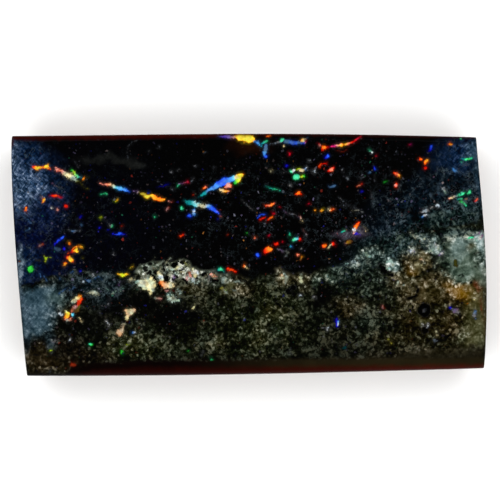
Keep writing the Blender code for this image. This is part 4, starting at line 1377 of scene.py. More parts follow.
class Tree:
    """Adds shader nodes to a tree. A value is a number, a colour or another node's output."""

    def __init__(self, tree):
        self.tree = tree

    def node(self, kind, values=None, **settings):
        made = self.tree.nodes.new(kind)
        for name, setting in settings.items():
            setattr(made, name, setting)
        for name, value in (values or {}).items():
            self.put(made.inputs[name], value)
        return made

    def put(self, socket, value):
        if isinstance(value, bpy.types.NodeSocket):
            self.tree.links.new(value, socket)
        else:
            socket.default_value = value

    def maths(self, operation, *values, clamp=False):
        made = self.tree.nodes.new("ShaderNodeMath")
        made.operation = operation
        made.use_clamp = clamp
        for socket, value in zip(made.inputs, values):
            self.put(socket, value)
        return made.outputs[0]

    def plus(self, first, second):
        """The sum of two numbers."""
        return self.maths("ADD", first, second)

    def minus(self, first, second):
        """A number less another."""
        return self.maths("SUBTRACT", first, second)

    def times(self, first, second, added=None, clamp=False):
        """The product of two numbers, and a third added to it if there is one."""
        if added is None:
            return self.maths("MULTIPLY", first, second, clamp=clamp)
        return self.maths("MULTIPLY_ADD", first, second, added, clamp=clamp)

    def step(self, low, high, value):
        """An eased step from 0 at low to 1 at high."""
        names = {"Value": value, "From Min": low, "From Max": high}
        made = self.node("ShaderNodeMapRange", names, interpolation_type="SMOOTHSTEP")
        return made.outputs["Result"]

    def mix(self, share, first, second, blend="MIX"):
        """Two colours mixed by a share."""
        made = self.node("ShaderNodeMix", data_type="RGBA", blend_type=blend)
        for number, value in ((0, share), (6, first), (7, second)):
            self.put(made.inputs[number], value)
        return made.outputs[2]

    def blend(self, share, first, second):
        """Two numbers mixed by a share."""
        made = self.node("ShaderNodeMix", data_type="FLOAT")
        for number, value in ((0, share), (2, first), (3, second)):
            self.put(made.inputs[number], value)
        return made.outputs[0]

    def scaled(self, colour, amount):
        """A colour times a number."""
        made = self.node("ShaderNodeVectorMath", operation="SCALE")
        self.put(made.inputs[0], colour)
        self.put(made.inputs["Scale"], amount)
        return made.outputs[0]

    def channels(self, operation, first, second):
        """Two colours worked together channel by channel."""
        made = self.node("ShaderNodeVectorMath", operation=operation)
        self.put(made.inputs[0], first)
        self.put(made.inputs[1], second)
        return made.outputs[0]

    def added(self, first, second):
        """Two colours added."""
        return self.channels("ADD", first, second)

    def ranged(self, value, low, high, to_low, to_high):
        """A number carried over from one range to another, and kept inside it."""
        names = {"Value": value, "From Min": low, "From Max": high}
        names |= {"To Min": to_low, "To Max": to_high}
        return self.node("ShaderNodeMapRange", names).outputs["Result"]

    def noise(self, vector, size, detail=2.0, roughness=0.5, distortion=0.0):
        """Random relief from 0 to 1 whose lumps are about that size across."""
        scale = self.maths("DIVIDE", 1.0, size)
        values = {"Vector": vector, "Scale": scale, "Detail": detail, "Roughness": roughness}
        values["Distortion"] = distortion
        return self.node("ShaderNodeTexNoise", values).outputs["Fac"]

    def cells(self, vector, size, dimensions="3D"):
        """Random cells of about that size: the node, for its distance and its colour."""
        scale = self.maths("DIVIDE", 1.0, size)
        values = {"Vector": vector, "Scale": scale}
        return self.node("ShaderNodeTexVoronoi", values, voronoi_dimensions=dimensions)

    def kept(self, name):
        """The numbers that the mesh keeps under a name."""
        return self.node("ShaderNodeAttribute", attribute_name=name)

    def use(self, group, **values):
        """A shader node group, with its inputs set by their names in lower case."""
        made = self.node("ShaderNodeGroup", node_tree=group)
        for socket in made.inputs:
            name = socket.name.lower().replace(" ", "_")
            if name in values:
                self.put(socket, values[name])
        return made.outputs


def new_group(name, inputs, outputs):
    """A shader node group with named sockets. Returns its tree, its inputs and its output node."""
    group = bpy.data.node_groups.new(name, "ShaderNodeTree")
    for label, kind, default in inputs:
        socket = group.interface.new_socket(label, in_out="INPUT", socket_type=kind)
        if default is not None:
            socket.default_value = default
    for label, kind in outputs:
        group.interface.new_socket(label, in_out="OUTPUT", socket_type=kind)
    tree = Tree(group)
    entry = group.nodes.new("NodeGroupInput")
    leave = group.nodes.new("NodeGroupOutput")
    return tree, entry.outputs, leave.inputs


FLOAT, COLOUR, VECTOR = "NodeSocketFloat", "NodeSocketColor", "NodeSocketVector"


# Textures of the face: sizes, strengths of the parts of a tone, and tints
FINE_GRAIN, COARSE_GRAIN, WIDE_GRAIN = 14.0, 9.5, 6.5
CELL_GRAIN, BRIGHT_GRAIN = 1.3, 4.0
COARSE_FACTOR, WIDE_FACTOR, CELL_FACTOR = 3.4, 9.0, 0.8
BRIGHT_GRAINS = {"spacing": 0.62 * MM, "share": 0.5, "dot": 0.2}
STROKE_SIZE = 0.2 * MM
STROKE_TONE, WIDE_STROKE_TONE = 8.5, 4.0
STROKE_TURNS = ((38, 0.3), (-52, 0.38))  # degrees, and how short the strokes are for their width
THREAD_SIZE = 0.5 * MM
THREAD_LINES = ((1.0, 0.05), (0.55, 0.07))  # share of the thread size, and width of the line
PORE_SIZE = 0.6 * MM
PORE_BLACK = (0.001, 0.0012, 0.001, 1)
HUE_SIZE = 1.5 * MM
WARM_TINT, COOL_TINT = (1.18, 1.0, 0.78, 1), (0.92, 1.03, 0.98, 1)
SPECK_CLUSTER_SIZE = 2.0 * MM

# Flashes: sizes of their ragged edge, flicker and drift of hue, and tints
FLASH_EDGE_SIZE, FLICKER_SIZE, DRIFT_SIZE = 0.22 * MM, 0.42 * MM, 0.6 * MM
PLAIN_RIM, RED_RIM = (0.9, 0.9, 0.95, 1), (0.95, 0.42, 0.25, 1)
WARM_DRIFT, COOL_DRIFT = (1.1, 0.98, 0.86, 1), (0.9, 1.02, 1.12, 1)
# Share of a flash's colour added to the rock round it as a painted glow
PAINTED_GLOW_ROUND = 0.05
OPAL_IOR = 1.45

# Ironstone: sizes of its parts, and its black crust
BAND_SIZE, BLOTCH_SIZE, STAIN_SIZE, CRUST_SIZE = 0.9 * MM, 1.9 * MM, 2.6 * MM, 1.6 * MM
IRON_GRAIN_SIZE = 0.22 * MM
CRUST_BLACK = (0.008, 0.005, 0.005, 1)
SKIN_EDGE_SIZE = 0.7 * MM
RELIEF_HEIGHT = 0.22 * MM


def grain_group(groups):
    """Sandy grains: their tone, below 0 between the grains and above it on them, the tone of
    wider clouds of them, and their height. A few of the grains are bright pinpricks."""
    inputs = [("Vector", VECTOR, None), ("Size", FLOAT, 0.4 * MM)]
    outputs = [("Tone", FLOAT), ("Clouds", FLOAT), ("Height", FLOAT)]
    tree, given, result = new_group("sandy_grain", inputs, outputs)
    relief = tree.noise(given["Vector"], given["Size"], 2.5, 0.55, 0.5)
    coarse_size = tree.times(given["Size"], COARSE_FACTOR)
    coarse = tree.noise(given["Vector"], coarse_size, 3.0, 0.6, 0.4)
    wide_size = tree.times(given["Size"], WIDE_FACTOR)
    wide = tree.noise(given["Vector"], wide_size, 2.0, 0.6)
    bent = bent_place(tree, given["Vector"], given["Size"], 0.8)
    cell = tree.cells(bent, tree.times(given["Size"], CELL_FACTOR))
    tone = tree.node("ShaderNodeSeparateColor", {"Color": cell.outputs["Color"]}).outputs[0]
    tone = tree.maths("POWER", tone, 2.0)
    total = tree.times(tree.minus(relief, 0.5), FINE_GRAIN)
    clouds = tree.times(tree.minus(coarse, 0.5), COARSE_GRAIN)
    clouds = tree.times(tree.minus(wide, 0.5), WIDE_GRAIN, clouds)
    tree.put(result["Clouds"], clouds)
    total = tree.times(tree.minus(tone, 0.33), CELL_GRAIN, total)
    bright = tree.use(groups["specks"], vector=given["Vector"], **BRIGHT_GRAINS)
    total = tree.times(bright["Amount"], BRIGHT_GRAIN, total)
    tree.put(result["Tone"], total)
    tree.put(result["Height"], relief)
    return tree.tree


def streak_group():
    """Slanted strokes of haze that cross each other, as a tone round 0."""
    inputs = [("Vector", VECTOR, None), ("Size", FLOAT, STROKE_SIZE)]
    tree, given, result = new_group("haze_streaks", inputs, [("Tone", FLOAT)])
    total = 0.0
    for degrees, stretch in STROKE_TURNS:
        values = {"Vector": given["Vector"], "Rotation": (0, 0, math.radians(degrees))}
        slanted = tree.node("ShaderNodeMapping", values).outputs[0]
        values = {"Vector": slanted, "Scale": (1.0, stretch, 1.0)}
        slanted = tree.node("ShaderNodeMapping", values).outputs[0]
        dashes = tree.noise(slanted, given["Size"], 1.5, 0.6, 0.4)
        total = tree.times(tree.minus(dashes, 0.5), STROKE_TONE, total)
    wide = tree.noise(given["Vector"], tree.times(given["Size"], 5.0), 2.0, 0.6)
    total = tree.times(tree.minus(wide, 0.5), WIDE_STROKE_TONE, total)
    tree.put(result["Tone"], total)
    return tree.tree


def thread_group():
    """Short curved wisps: thin lines along one level of random relief in two sizes, broken up
    and dimmed by wider relief."""
    inputs = [("Vector", VECTOR, None), ("Size", FLOAT, THREAD_SIZE)]
    tree, given, result = new_group("curved_wisps", inputs, [("Amount", FLOAT)])
    total = 0.0
    for factor, width in THREAD_LINES:
        size = tree.times(given["Size"], factor)
        relief = tree.noise(given["Vector"], size, 1.5, 0.5, 0.6)
        away = tree.maths("ABSOLUTE", tree.minus(relief, 0.5))
        line = tree.step(width, width * 0.25, away)
        breaks = tree.noise(given["Vector"], tree.times(size, 1.7), 1.0)
        line = tree.times(line, tree.step(0.48, 0.66, breaks))
        total = tree.plus(total, line)
    wide = tree.noise(given["Vector"], tree.times(given["Size"], 3.5), 1.0)
    tree.put(result["Amount"], tree.times(total, tree.step(0.3, 0.65, wide)))
    return tree.tree


def pore_group():
    """Open sponge: how much of a place is hole, from 0 to 1. A hole fills a random cell out to a
    share of its width, which differs from cell to cell, and the walls between are ragged."""
    inputs = [("Vector", VECTOR, None), ("Size", FLOAT, PORE_SIZE)]
    tree, given, result = new_group("sponge_pores", inputs, [("Amount", FLOAT)])
    bent = bent_place(tree, given["Vector"], tree.times(given["Size"], 0.7), 0.9)
    cell = tree.cells(bent, given["Size"], "2D")
    parts = tree.node("ShaderNodeSeparateColor", {"Color": cell.outputs["Color"]}).outputs
    radius = tree.times(parts[0], 0.32, 0.24)
    short = tree.minus(radius, cell.outputs["Distance"])
    tree.put(result["Amount"], tree.step(-0.03, 0.07, short))
    return tree.tree


def bent_place(tree, place, size, reach):
    """A place moved about by random relief of a size, by up to a reach times that size."""
    values = {"Vector": place, "Scale": tree.maths("DIVIDE", 1.0, size), "Detail": 1.0}
    relief = tree.node("ShaderNodeTexNoise", values).outputs["Color"]
    shift = tree.node("ShaderNodeVectorMath", operation="SUBTRACT")
    tree.put(shift.inputs[0], relief)
    shift.inputs[1].default_value = (0.5, 0.5, 0.5)
    return tree.added(place, tree.scaled(shift.outputs[0], tree.times(size, reach)))


def speck_group():
    """Pinprick specks: in a share of random cells, a ragged dot at the cell's middle."""
    inputs = [
        ("Vector", VECTOR, None),
        ("Spacing", FLOAT, 0.5 * MM),
        ("Share", FLOAT, 0.5),
        ("Dot", FLOAT, 0.12),
    ]
    outputs = [("Amount", FLOAT), ("Pick", FLOAT)]
    tree, given, result = new_group("pinprick_specks", inputs, outputs)
    bend_size = tree.times(given["Spacing"], 0.35)
    bent = bent_place(tree, given["Vector"], bend_size, 1.4)
    cell = tree.cells(bent, given["Spacing"], "2D")
    parts = tree.node("ShaderNodeSeparateColor", {"Color": cell.outputs["Color"]}).outputs
    chosen = tree.maths("LESS_THAN", parts[0], given["Share"])
    radius = tree.times(given["Dot"], tree.plus(parts[1], 0.5))
    inner = tree.times(radius, 0.55)
    dot = tree.step(radius, inner, cell.outputs["Distance"])
    light = tree.maths("POWER", parts[1], 1.6)
    amount = tree.times(tree.times(dot, chosen), light)
    tree.put(result["Amount"], amount)
    tree.put(result["Pick"], parts[2])
    return tree.tree


def ironstone_group():
    """Red-brown ironstone: dark and even where it is polished or sawn, lighter, ochre-stained
    and pitted where it is weathered."""
    inputs = [
        ("Vector", VECTOR, None),
        ("Rough", FLOAT, 0.0),
        ("Polished", COLOUR, (0.02, 0.005, 0.002, 1)),
        ("Sawn", COLOUR, (0.05, 0.02, 0.01, 1)),
        ("Weathered", COLOUR, (0.12, 0.05, 0.02, 1)),
        ("Ochre", COLOUR, (0.3, 0.14, 0.04, 1)),
        ("Polish", FLOAT, 0.0),
    ]
    outputs = [("Color", COLOUR), ("Height", FLOAT), ("Roughness", FLOAT)]
    tree, given, result = new_group("ironstone", inputs, outputs)
    flat = tree.node("ShaderNodeMapping", {"Vector": given["Vector"], "Scale": (0.35, 0.35, 1.6)})
    bands = tree.noise(flat.outputs[0], BAND_SIZE, 4.0, 0.6, 0.8)
    blotch = tree.noise(given["Vector"], BLOTCH_SIZE, 4.0, 0.6, 0.3)
    fine = tree.noise(given["Vector"], IRON_GRAIN_SIZE, 3.0, 0.65)
    sawn = tree.scaled(given["Sawn"], tree.blend(tree.step(0.3, 0.7, bands), 0.5, 1.6))
    worn = tree.scaled(given["Weathered"], tree.blend(tree.step(0.3, 0.7, blotch), 0.35, 1.7))
    stain = tree.step(0.50, 0.64, tree.noise(given["Vector"], STAIN_SIZE, 5.0, 0.65, 0.5))
    worn = tree.mix(tree.times(stain, 0.7), worn, given["Ochre"])
    crust = tree.step(0.52, 0.60, tree.noise(given["Vector"], CRUST_SIZE, 5.0, 0.7, 0.4))
    worn = tree.mix(tree.times(crust, 0.8), worn, CRUST_BLACK)
    colour = tree.mix(given["Rough"], sawn, worn)
    colour = tree.scaled(colour, tree.blend(tree.step(0.3, 0.7, fine), 0.55, 1.45))
    shiny = tree.scaled(given["Polished"], tree.blend(blotch, 0.5, 1.5))
    colour = tree.mix(given["Polish"], colour, shiny)
    tree.put(result["Color"], colour)
    height = tree.times(blotch, 0.6, tree.times(fine, 0.4))
    tree.put(result["Height"], height)
    matt = tree.blend(given["Rough"], 0.5, 0.82)
    tree.put(result["Roughness"], tree.blend(given["Polish"], matt, 0.32))
    return tree.tree


SPECK_SIZES = (  # spacing, share of the cells, dot as a share of the spacing, brightness
    (0.36 * MM, 0.30, 0.20, 0.28),
    (0.80 * MM, 0.40, 0.12, 0.9),
)
SPECK_TINTS = (  # place in the picks, then red, green and blue from 0 to 255
    (0.0, (104, 104, 118)),
    (0.34, (92, 84, 112)),
    (0.60, (126, 112, 112)),
    (0.76, (150, 52, 40)),
    (0.86, (48, 48, 160)),
    (0.94, (60, 150, 110)),
    (0.97, (190, 124, 60)),
)


def tinted_specks(tree, place, groups, amount):
    """Colour to add for two sizes of pinprick specks, most of them grey and a few coloured."""
    total = (0.0, 0.0, 0.0)
    for spacing, share, dot, strength in SPECK_SIZES:
        values = {"vector": place, "spacing": spacing, "share": share, "dot": dot}
        specks = tree.use(groups["specks"], **values)
        ramp = tree.node("ShaderNodeValToRGB", {"Fac": specks["Pick"]})
        ramp.color_ramp.interpolation = "CONSTANT"
        spots = ramp.color_ramp.elements
        for number, (at, colour) in enumerate(SPECK_TINTS):
            stop = spots[number] if number < 2 else spots.new(at)
            stop.position = at
            stop.color = (*as_light(colour), 1.0)
        lit = tree.times(tree.times(specks["Amount"], amount), strength)
        total = tree.added(total, tree.scaled(ramp.outputs["Color"], lit))
    return total


def toned(tree, rock, tone):
    """A rock's colour in its lights and darks: times e to the power of the tone, then drawn
    towards grey in the lights and away from it in the darks."""
    colour = tree.scaled(rock, tree.maths("EXPONENT", tree.maths("MINIMUM", tone, 2.6)))
    grey = tree.node("ShaderNodeRGBToBW", {"Color": colour}).outputs[0]
    share = tree.ranged(tone, -2.3, 1.9, -0.8, 0.5)
    pulled = tree.scaled(tree.channels("SUBTRACT", grey, colour), share)
    return tree.channels("MAXIMUM", tree.added(colour, pulled), (0.0, 0.0, 0.0))


def shouldered(tree, colour, strength):
    """A colour whose lights are held back: c / (1 + strength * c)."""
    below = tree.added(tree.scaled(colour, strength), (1.0, 1.0, 1.0))
    return tree.channels("DIVIDE", colour, below)


def face_colour(tree, place, settings, groups):
    """Colour of the polished face without its flashes, with the height of its grains and how
    matt its pores and grains make it."""
    rock = tree.kept("rock_colour").outputs["Color"]
    texture = tree.kept("rock_texture")
    parts = tree.node("ShaderNodeSeparateColor", {"Color": texture.outputs["Color"]}).outputs
    grain_amount, streak_amount, pore_amount = parts[0], parts[1], parts[2]
    grain = tree.use(groups["grain"], vector=place, size=settings.grain_size)
    streaks = tree.use(groups["streaks"], vector=place)
    cloud_amount = tree.times(grain_amount, 0.75, 0.25)
    tone = tree.times(grain["Clouds"], cloud_amount)
    tone = tree.times(grain["Tone"], grain_amount, tone)
    tone = tree.times(streaks["Tone"], streak_amount, tone)
    colour = toned(tree, rock, tone)
    hue = tree.step(0.34, 0.66, tree.noise(place, HUE_SIZE, 4.0, 0.7))
    warm = tree.mix(hue, WARM_TINT, COOL_TINT)
    tinted = tree.mix(1.0, colour, warm, "MULTIPLY")
    colour = tree.mix(tree.times(grain_amount, 0.9, clamp=True), colour, tinted)
    pores = tree.use(groups["pores"], vector=place)
    pore = tree.times(pores["Amount"], pore_amount)
    colour = tree.mix(pore, shouldered(tree, colour, 0.9), PORE_BLACK)
    threads = tree.use(groups["threads"], vector=place)
    lit = tree.times(threads["Amount"], texture.outputs["Alpha"])
    colour = tree.added(colour, tree.scaled(settings.thread_colour[:3], lit))
    cluster = tree.step(0.35, 0.65, tree.noise(place, SPECK_CLUSTER_SIZE, 2.0, 0.5))
    speck_amount = tree.kept("specks").outputs["Fac"]
    speck_amount = tree.times(speck_amount, tree.blend(cluster, 0.3, 1.2))
    colour = tree.added(colour, tinted_specks(tree, place, groups, speck_amount))
    matt = tree.maths("MAXIMUM", pore, tree.times(grain_amount, 0.35))
    return colour, tree.times(grain["Height"], grain_amount), matt


def flash_colour(tree, place):
    """Colour of the flashes, and how much of it shows: full where the ragged depth passes 0. A
    flash's rim is purer than its middle and redder where it is warm, its core is paler, and a
    faint painted glow lies round it: the flash's colour added to the rock about it."""
    flash = tree.kept("flash_colour").outputs["Color"]
    parts = tree.node("ShaderNodeSeparateColor", {"Color": flash}).outputs
    most = tree.maths("MAXIMUM", tree.maths("MAXIMUM", parts[0], parts[1]), parts[2])
    least = tree.maths("MINIMUM", tree.maths("MINIMUM", parts[0], parts[1]), parts[2])
    pale = tree.step(0.25, 0.5, tree.maths("DIVIDE", least, tree.plus(most, 0.02)))
    wobble = tree.minus(tree.noise(place, FLASH_EDGE_SIZE, 2.0, 0.6), 0.5)
    wobble = tree.times(wobble, tree.blend(pale, 2.8, 5.0))
    depth = tree.plus(wobble, tree.kept("flash_depth").outputs["Fac"])
    depth = tree.minus(depth, 0.4)
    warmth = tree.maths("DIVIDE", tree.minus(parts[0], parts[2]), tree.plus(parts[0], 0.02))
    redder = tree.mix(tree.step(0.68, 0.92, warmth), PLAIN_RIM, RED_RIM)
    rim = tree.node("ShaderNodeGamma", {"Color": flash, "Gamma": 1.5}).outputs[0]
    rim = tree.mix(1.0, rim, redder, "MULTIPLY")
    core = tree.node("ShaderNodeGamma", {"Color": flash, "Gamma": 0.7}).outputs[0]
    flicker = tree.step(0.3, 0.7, tree.noise(place, FLICKER_SIZE, 3.0, 0.6))
    flicker = tree.blend(flicker, tree.blend(pale, 0.68, 0.42), 1.15)
    hue = tree.step(0.36, 0.64, tree.noise(place, DRIFT_SIZE, 1.0, 0.5))
    drift = tree.mix(hue, WARM_DRIFT, COOL_DRIFT)
    lit = tree.mix(tree.step(-0.3, 0.9, depth), rim, flash)
    lit = tree.mix(tree.times(tree.step(1.0, 3.2, depth), 0.35), lit, core)
    lit = tree.mix(1.0, tree.scaled(lit, flicker), drift, "MULTIPLY")
    # Painted glow: a faint halo of the flash's colour on the rock just outside it
    glow = tree.maths("POWER", tree.step(-4.5, 0.0, depth), 3.0)
    glow = tree.scaled(flash, tree.times(glow, PAINTED_GLOW_ROUND))
    return lit, tree.step(-0.75, 0.6, depth), glow


def rim_colour(tree, place, skin_depth, settings):
    """Polished ironstone of the rolled rims: dark or bronze where it starts, redder towards the
    edge, and lighter from left to right. On the back half it is a thin red line."""
    ways = tree.node("ShaderNodeSeparateXYZ", {"Vector": place}).outputs
    right, behind = ways["X"], tree.maths("GREATER_THAN", ways["Y"], 0.0)
    inner = tree.mix(tree.step(-8 * MM, 9 * MM, right), settings.rim_dark[:], settings.rim_bronze[:])
    lighter = tree.maths("EXPONENT", tree.ranged(right, -10 * MM, 20 * MM, -0.75, 0.5))
    outer = tree.scaled(settings.rim_red[:3], tree.blend(behind, lighter, 1.0))
    return tree.mix(tree.maths("MAXIMUM", behind, tree.step(0.35, 1.15, skin_depth)), inner, outer)


def stone_material(settings, groups):
    """One material for the whole stone: rock, flashes and ironstone, by the mesh's numbers."""
    material = bpy.data.materials.new("polished_boulder_opal")
    material.use_nodes = True
    tree = Tree(material.node_tree)
    shader = material.node_tree.nodes["Principled BSDF"]
    place = tree.node("ShaderNodeTexCoord").outputs["Object"]

    colour, face_height, matt = face_colour(tree, place, settings, groups)
    flash, flash_share, glow = flash_colour(tree, place)
    # The painted glow round the flashes is added to the rock's colour here
    colour = tree.mix(flash_share, tree.added(colour, glow), flash)
    polish = tree.kept("polish").outputs["Fac"]

    skin_wobble = tree.minus(tree.noise(place, SKIN_EDGE_SIZE, 3.0, 0.6), 0.5)
    skin_depth = tree.kept("skin_depth").outputs["Fac"]
    skin_depth = tree.times(skin_wobble, 0.4, skin_depth)
    skin_share = tree.step(-0.3, 0.25, skin_depth)
    on_rim = tree.step(2.6, 2.2, skin_depth)
    rough = tree.kept("rough_share").outputs["Fac"]
    skin_values = {"vector": place, "rough": rough, "polish": on_rim}
    skin_values["polished"] = rim_colour(tree, place, skin_depth, settings)
    skin_values["sawn"] = settings.sawn_ironstone[:]
    skin_values["weathered"] = settings.weathered_ironstone[:]
    skin_values["ochre"] = settings.ochre_stain[:]
    skin = tree.use(groups["ironstone"], **skin_values)
    # Painted shade: the face's colour is darkened to half over a band just inside the ironstone rims,
    # where they start to roll over
    painted_rim_shade = tree.blend(tree.step(-0.9, 0.1, skin_depth), 1.0, 0.5)
    colour = tree.mix(skin_share, tree.scaled(colour, painted_rim_shade), skin["Color"])

    tree.put(shader.inputs["Base Color"], colour)
    roughness = tree.blend(matt, 0.45, 0.7)
    roughness = tree.blend(skin_share, roughness, skin["Roughness"])
    tree.put(shader.inputs["Roughness"], roughness)
    shader.inputs["Specular IOR Level"].default_value = settings.base_shine
    glossy = tree.times(polish, tree.minus(1.0, skin_share))
    tree.put(shader.inputs["Coat Weight"], glossy)
    shader.inputs["Coat IOR"].default_value = OPAL_IOR
    shader.inputs["Coat Roughness"].default_value = settings.polish_roughness
    # Painted light: the flashes are given an emission in their own colour, a painted glow, though the
    # stone gives off no light of its own
    painted_glow_share = tree.times(flash_share, tree.minus(1.0, skin_share))
    tree.put(shader.inputs["Emission Color"], tree.scaled(flash, painted_glow_share))
    shader.inputs["Emission Strength"].default_value = settings.flash_painted_glow

    skin_height = tree.times(skin["Height"], tree.blend(rough, 0.2, 1.8))
    skin_height = tree.times(skin_height, tree.minus(1.0, on_rim))
    face_height = tree.times(face_height, 0.02)
    height = tree.blend(skin_share, face_height, skin_height)
    bump = tree.node("ShaderNodeBump", {"Height": height, "Distance": RELIEF_HEIGHT})
    bump.inputs["Strength"].default_value = 0.8
    tree.put(shader.inputs["Normal"], bump.outputs["Normal"])
    return material


def colour_property(name, description, screen_colour):
    """A colour that a user can change, given as a screen shows it from 0 to 255."""
    default = (*as_light(screen_colour), 1.0)
    return bpy.props.FloatVectorProperty(
        name=name,
        description=description,
        subtype="COLOR",
        size=4,
        min=0.0,
        max=1.0,
        default=default,
    )


def length_property(name, description, default, least):
    """A length that a user can change."""
    return bpy.props.FloatProperty(
        name=name,
        description=description,
        default=default,
        min=least,
        precision=5,
        subtype="DISTANCE",
        unit="LENGTH",
    )


def share_property(name, description, default, most=1.0):
    """A share that a user can change, from 0 up."""
    return bpy.props.FloatProperty(
        name=name,
        description=description,
        default=default,
        min=0.0,
        max=most,
        subtype="FACTOR",
    )


class OpalFinishSettings(bpy.types.PropertyGroup):
    """Sizes and colours of the stone's finish."""

    grain_size: length_property(
        "Grain size", "Size of the sand grains in the matrix", 0.36 * MM, 0.05 * MM
    )
    polish_roughness: share_property(
        "Polish roughness", "Roughness of the polish: 0 is a mirror", 0.08
    )
    base_shine: share_property(
        "Bare shine", "How much bare stone without polish mirrors light: 0.5 is plain glass", 0.01
    )
    # Strength of the painted glow: light in their own colour that the flashes are made to give off
    flash_painted_glow: share_property(
        "Flash glow", "How strongly the flashes of colour shine of their own", 0.12, 2.0
    )
    thread_colour: colour_property("Threads", "Thin pale threads in the potch and haze", (84, 98, 104))
    rim_dark: colour_property("Rim, dark", "Left ironstone rim where it starts", (12, 4, 1))
    rim_bronze: colour_property("Rim, bronze", "Right ironstone rim where it starts", (30, 26, 16))
    rim_red: colour_property("Rim, red", "Rolled ironstone rims at their edge", (44, 11, 2))
    sawn_ironstone: colour_property("Sawn ironstone", "Flat upper walls", (54, 34, 25))
    weathered_ironstone: colour_property("Weathered ironstone", "Rough lower walls", (88, 58, 40))
    ochre_stain: colour_property("Ochre stain", "Stains on the rough walls", (140, 98, 56))


class OpalStageSettings(bpy.types.PropertyGroup):
    """Sizes and light of the stage."""

    floor_colour: colour_property("Floor", "Plain pale floor", (244, 244, 243))
    floor_width: length_property("Floor width", "Width of the square floor", 3.0, 0.2)
    light_power: bpy.props.FloatProperty(
        name="Light power",
        description="Power of each soft light",
        default=2.4,
        min=0.0,
        subtype="POWER",
        unit="POWER",
    )
    camera_height: length_property(
        "Camera height", "Height of the camera above the polished face", 0.5, 0.05
    )
    view_width: length_property(
        "View width", "Width of what the camera sees at the polished face", 49.8 * MM, 1.0 * MM
    )


class OPAL_OT_stone(bpy.types.Operator):
    """Makes the polished block of boulder opal and its material"""

    bl_idname = "opal.stone"
    bl_label = "Boulder Opal"
    bl_options = {"REGISTER", "UNDO"}

    def execute(self, context):
        groups = {
            "streaks": streak_group(),
            "threads": thread_group(),
            "pores": pore_group(),
            "specks": speck_group(),
            "ironstone": ironstone_group(),
        }
        groups["grain"] = grain_group(groups)
        stone = bpy.data.objects.new("polished_boulder_opal", stone_mesh())
        context.scene.collection.objects.link(stone)
        stone.data.materials.append(stone_material(context.scene.opal_finish, groups))
        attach(stone, "root")
        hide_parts(NODE)
        return {"FINISHED"}


# Middle of the camera's view, from the middle of the stone
VIEW_MIDDLE = np.array((0.1, 0.5)) * MM
SENSOR_WIDTH = 36.0
LIGHT_DISTANCE = 0.9
LIGHT_WIDTH = 0.6
LIGHT_ELEVATION = 56.0
LIGHT_TURNS = (45.0, 135.0, 225.0, 315.0)


def floor_mesh(width):
    """A flat square whose corners are half its width from the middle each way."""
    half = width / 2
    corners = [(-half, -half, 0), (half, -half, 0), (half, half, 0), (-half, half, 0)]
    mesh = bpy.data.meshes.new("pale_floor")
    mesh.from_pydata(corners, [], [(0, 1, 2, 3)])
    return mesh


def floor_material(colour):
    """Plain matt floor."""
    material = bpy.data.materials.new("pale_floor")
    material.use_nodes = True
    shader = material.node_tree.nodes["Principled BSDF"]
    shader.inputs["Base Color"].default_value = colour
    shader.inputs["Roughness"].default_value = 0.9
    shader.inputs["Specular IOR Level"].default_value = 0.1
    return material


def aim(item, place, target):
    """Puts an item at a place, with its back to it and its front to the target."""
    direction = target - place
    item.location = place
    item.rotation_euler = direction.to_track_quat("-Z", "Y").to_euler()


def add_lights(scene, power):
    """Four soft square lights on a circle round the stone, too low for the face to mirror up."""
    for turn in LIGHT_TURNS:
        light = bpy.data.lights.new("soft_light", "AREA")
        light.shape = "SQUARE"
        light.size = LIGHT_WIDTH
        light.energy = power
        item = bpy.data.objects.new("soft_light", light)
        level = LIGHT_DISTANCE * math.cos(math.radians(LIGHT_ELEVATION))
        x = level * math.cos(math.radians(turn))
        y = level * math.sin(math.radians(turn))
        z = LIGHT_DISTANCE * math.sin(math.radians(LIGHT_ELEVATION))
        aim(item, Vector((x, y, z)), Vector((0, 0, 0)))
        scene.collection.objects.link(item)


def add_world(scene):
    """A soft surround: pale near the horizon, dark overhead where the face would mirror it."""
    world = bpy.data.worlds.new("soft_surround")
    world.use_nodes = True
    tree = Tree(world.node_tree)
    background = world.node_tree.nodes["Background"]
    direction = tree.node("ShaderNodeTexCoord").outputs["Generated"]
    height = tree.node("ShaderNodeSeparateXYZ", {"Vector": direction}).outputs["Z"]
    pale = tree.step(0.93, 0.80, height)
    tree.put(background.inputs["Color"], tree.mix(pale, (0, 0, 0, 1), (0.93, 0.94, 0.95, 1)))
    scene.world = world


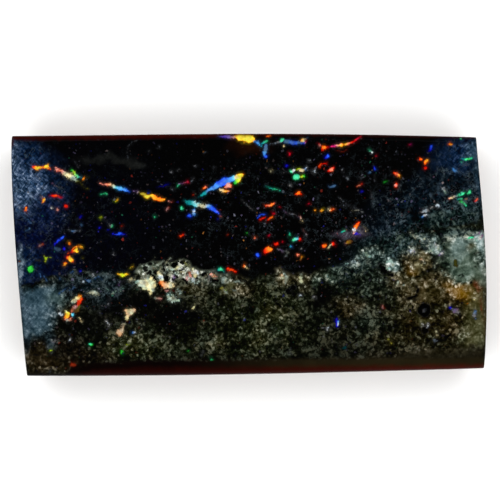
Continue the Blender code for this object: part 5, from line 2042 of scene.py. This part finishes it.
def add_camera(scene, height, width):
    """Looks straight down on the face, with the stone's long side across the picture."""
    camera = bpy.data.cameras.new("camera")
    camera.sensor_width = SENSOR_WIDTH
    camera.lens = SENSOR_WIDTH * height / width
    camera.clip_start = 0.01
    camera.clip_end = 20.0
    item = bpy.data.objects.new("camera", camera)
    item.location = (*VIEW_MIDDLE, THICKNESS + height)
    scene.collection.objects.link(item)
    scene.camera = item


class OPAL_OT_stage(bpy.types.Operator):
    """Makes the floor, the soft lights, the surround and the camera"""

    bl_idname = "opal.stage"
    bl_label = "Stage"
    bl_options = {"REGISTER", "UNDO"}

    def execute(self, context):
        settings = context.scene.opal_stage
        floor = bpy.data.objects.new("pale_floor", floor_mesh(settings.floor_width))
        context.scene.collection.objects.link(floor)
        floor.data.materials.append(floor_material(settings.floor_colour[:]))
        add_lights(context.scene, settings.light_power)
        add_world(context.scene)
        add_camera(context.scene, settings.camera_height, settings.view_width)
        bpy.context.scene.camera = context.scene.camera
        context.scene.view_settings.view_transform = "Standard"
        return {"FINISHED"}


class OPAL_PT_panel(bpy.types.Panel):
    """Lists the stone's settings and the buttons that build it"""

    bl_idname = "OPAL_PT_panel"
    bl_label = "Boulder Opal"
    bl_space_type = "VIEW_3D"
    bl_region_type = "UI"
    bl_category = "Boulder Opal"

    def draw(self, context):
        parts = (
            (context.scene.opal_finish, OPAL_OT_stone.bl_idname),
            (context.scene.opal_stage, OPAL_OT_stage.bl_idname),
        )
        for settings, operator in parts:
            box = self.layout.box()
            for name in settings.__annotations__:
                box.prop(settings, name)
            box.operator(operator)


CLASSES = (OpalFinishSettings, OpalStageSettings, OPAL_OT_stone, OPAL_OT_stage, OPAL_PT_panel)


def register():
    for item in CLASSES:
        bpy.utils.register_class(item)
    bpy.types.Scene.opal_finish = bpy.props.PointerProperty(type=OpalFinishSettings)
    bpy.types.Scene.opal_stage = bpy.props.PointerProperty(type=OpalStageSettings)


def unregister():
    del bpy.types.Scene.opal_stage
    del bpy.types.Scene.opal_finish
    for item in reversed(CLASSES):
        bpy.utils.unregister_class(item)


def main():
    register()
    bpy.ops.opal.stone()
    bpy.ops.opal.stage()


if __name__ == "__main__":
    main()
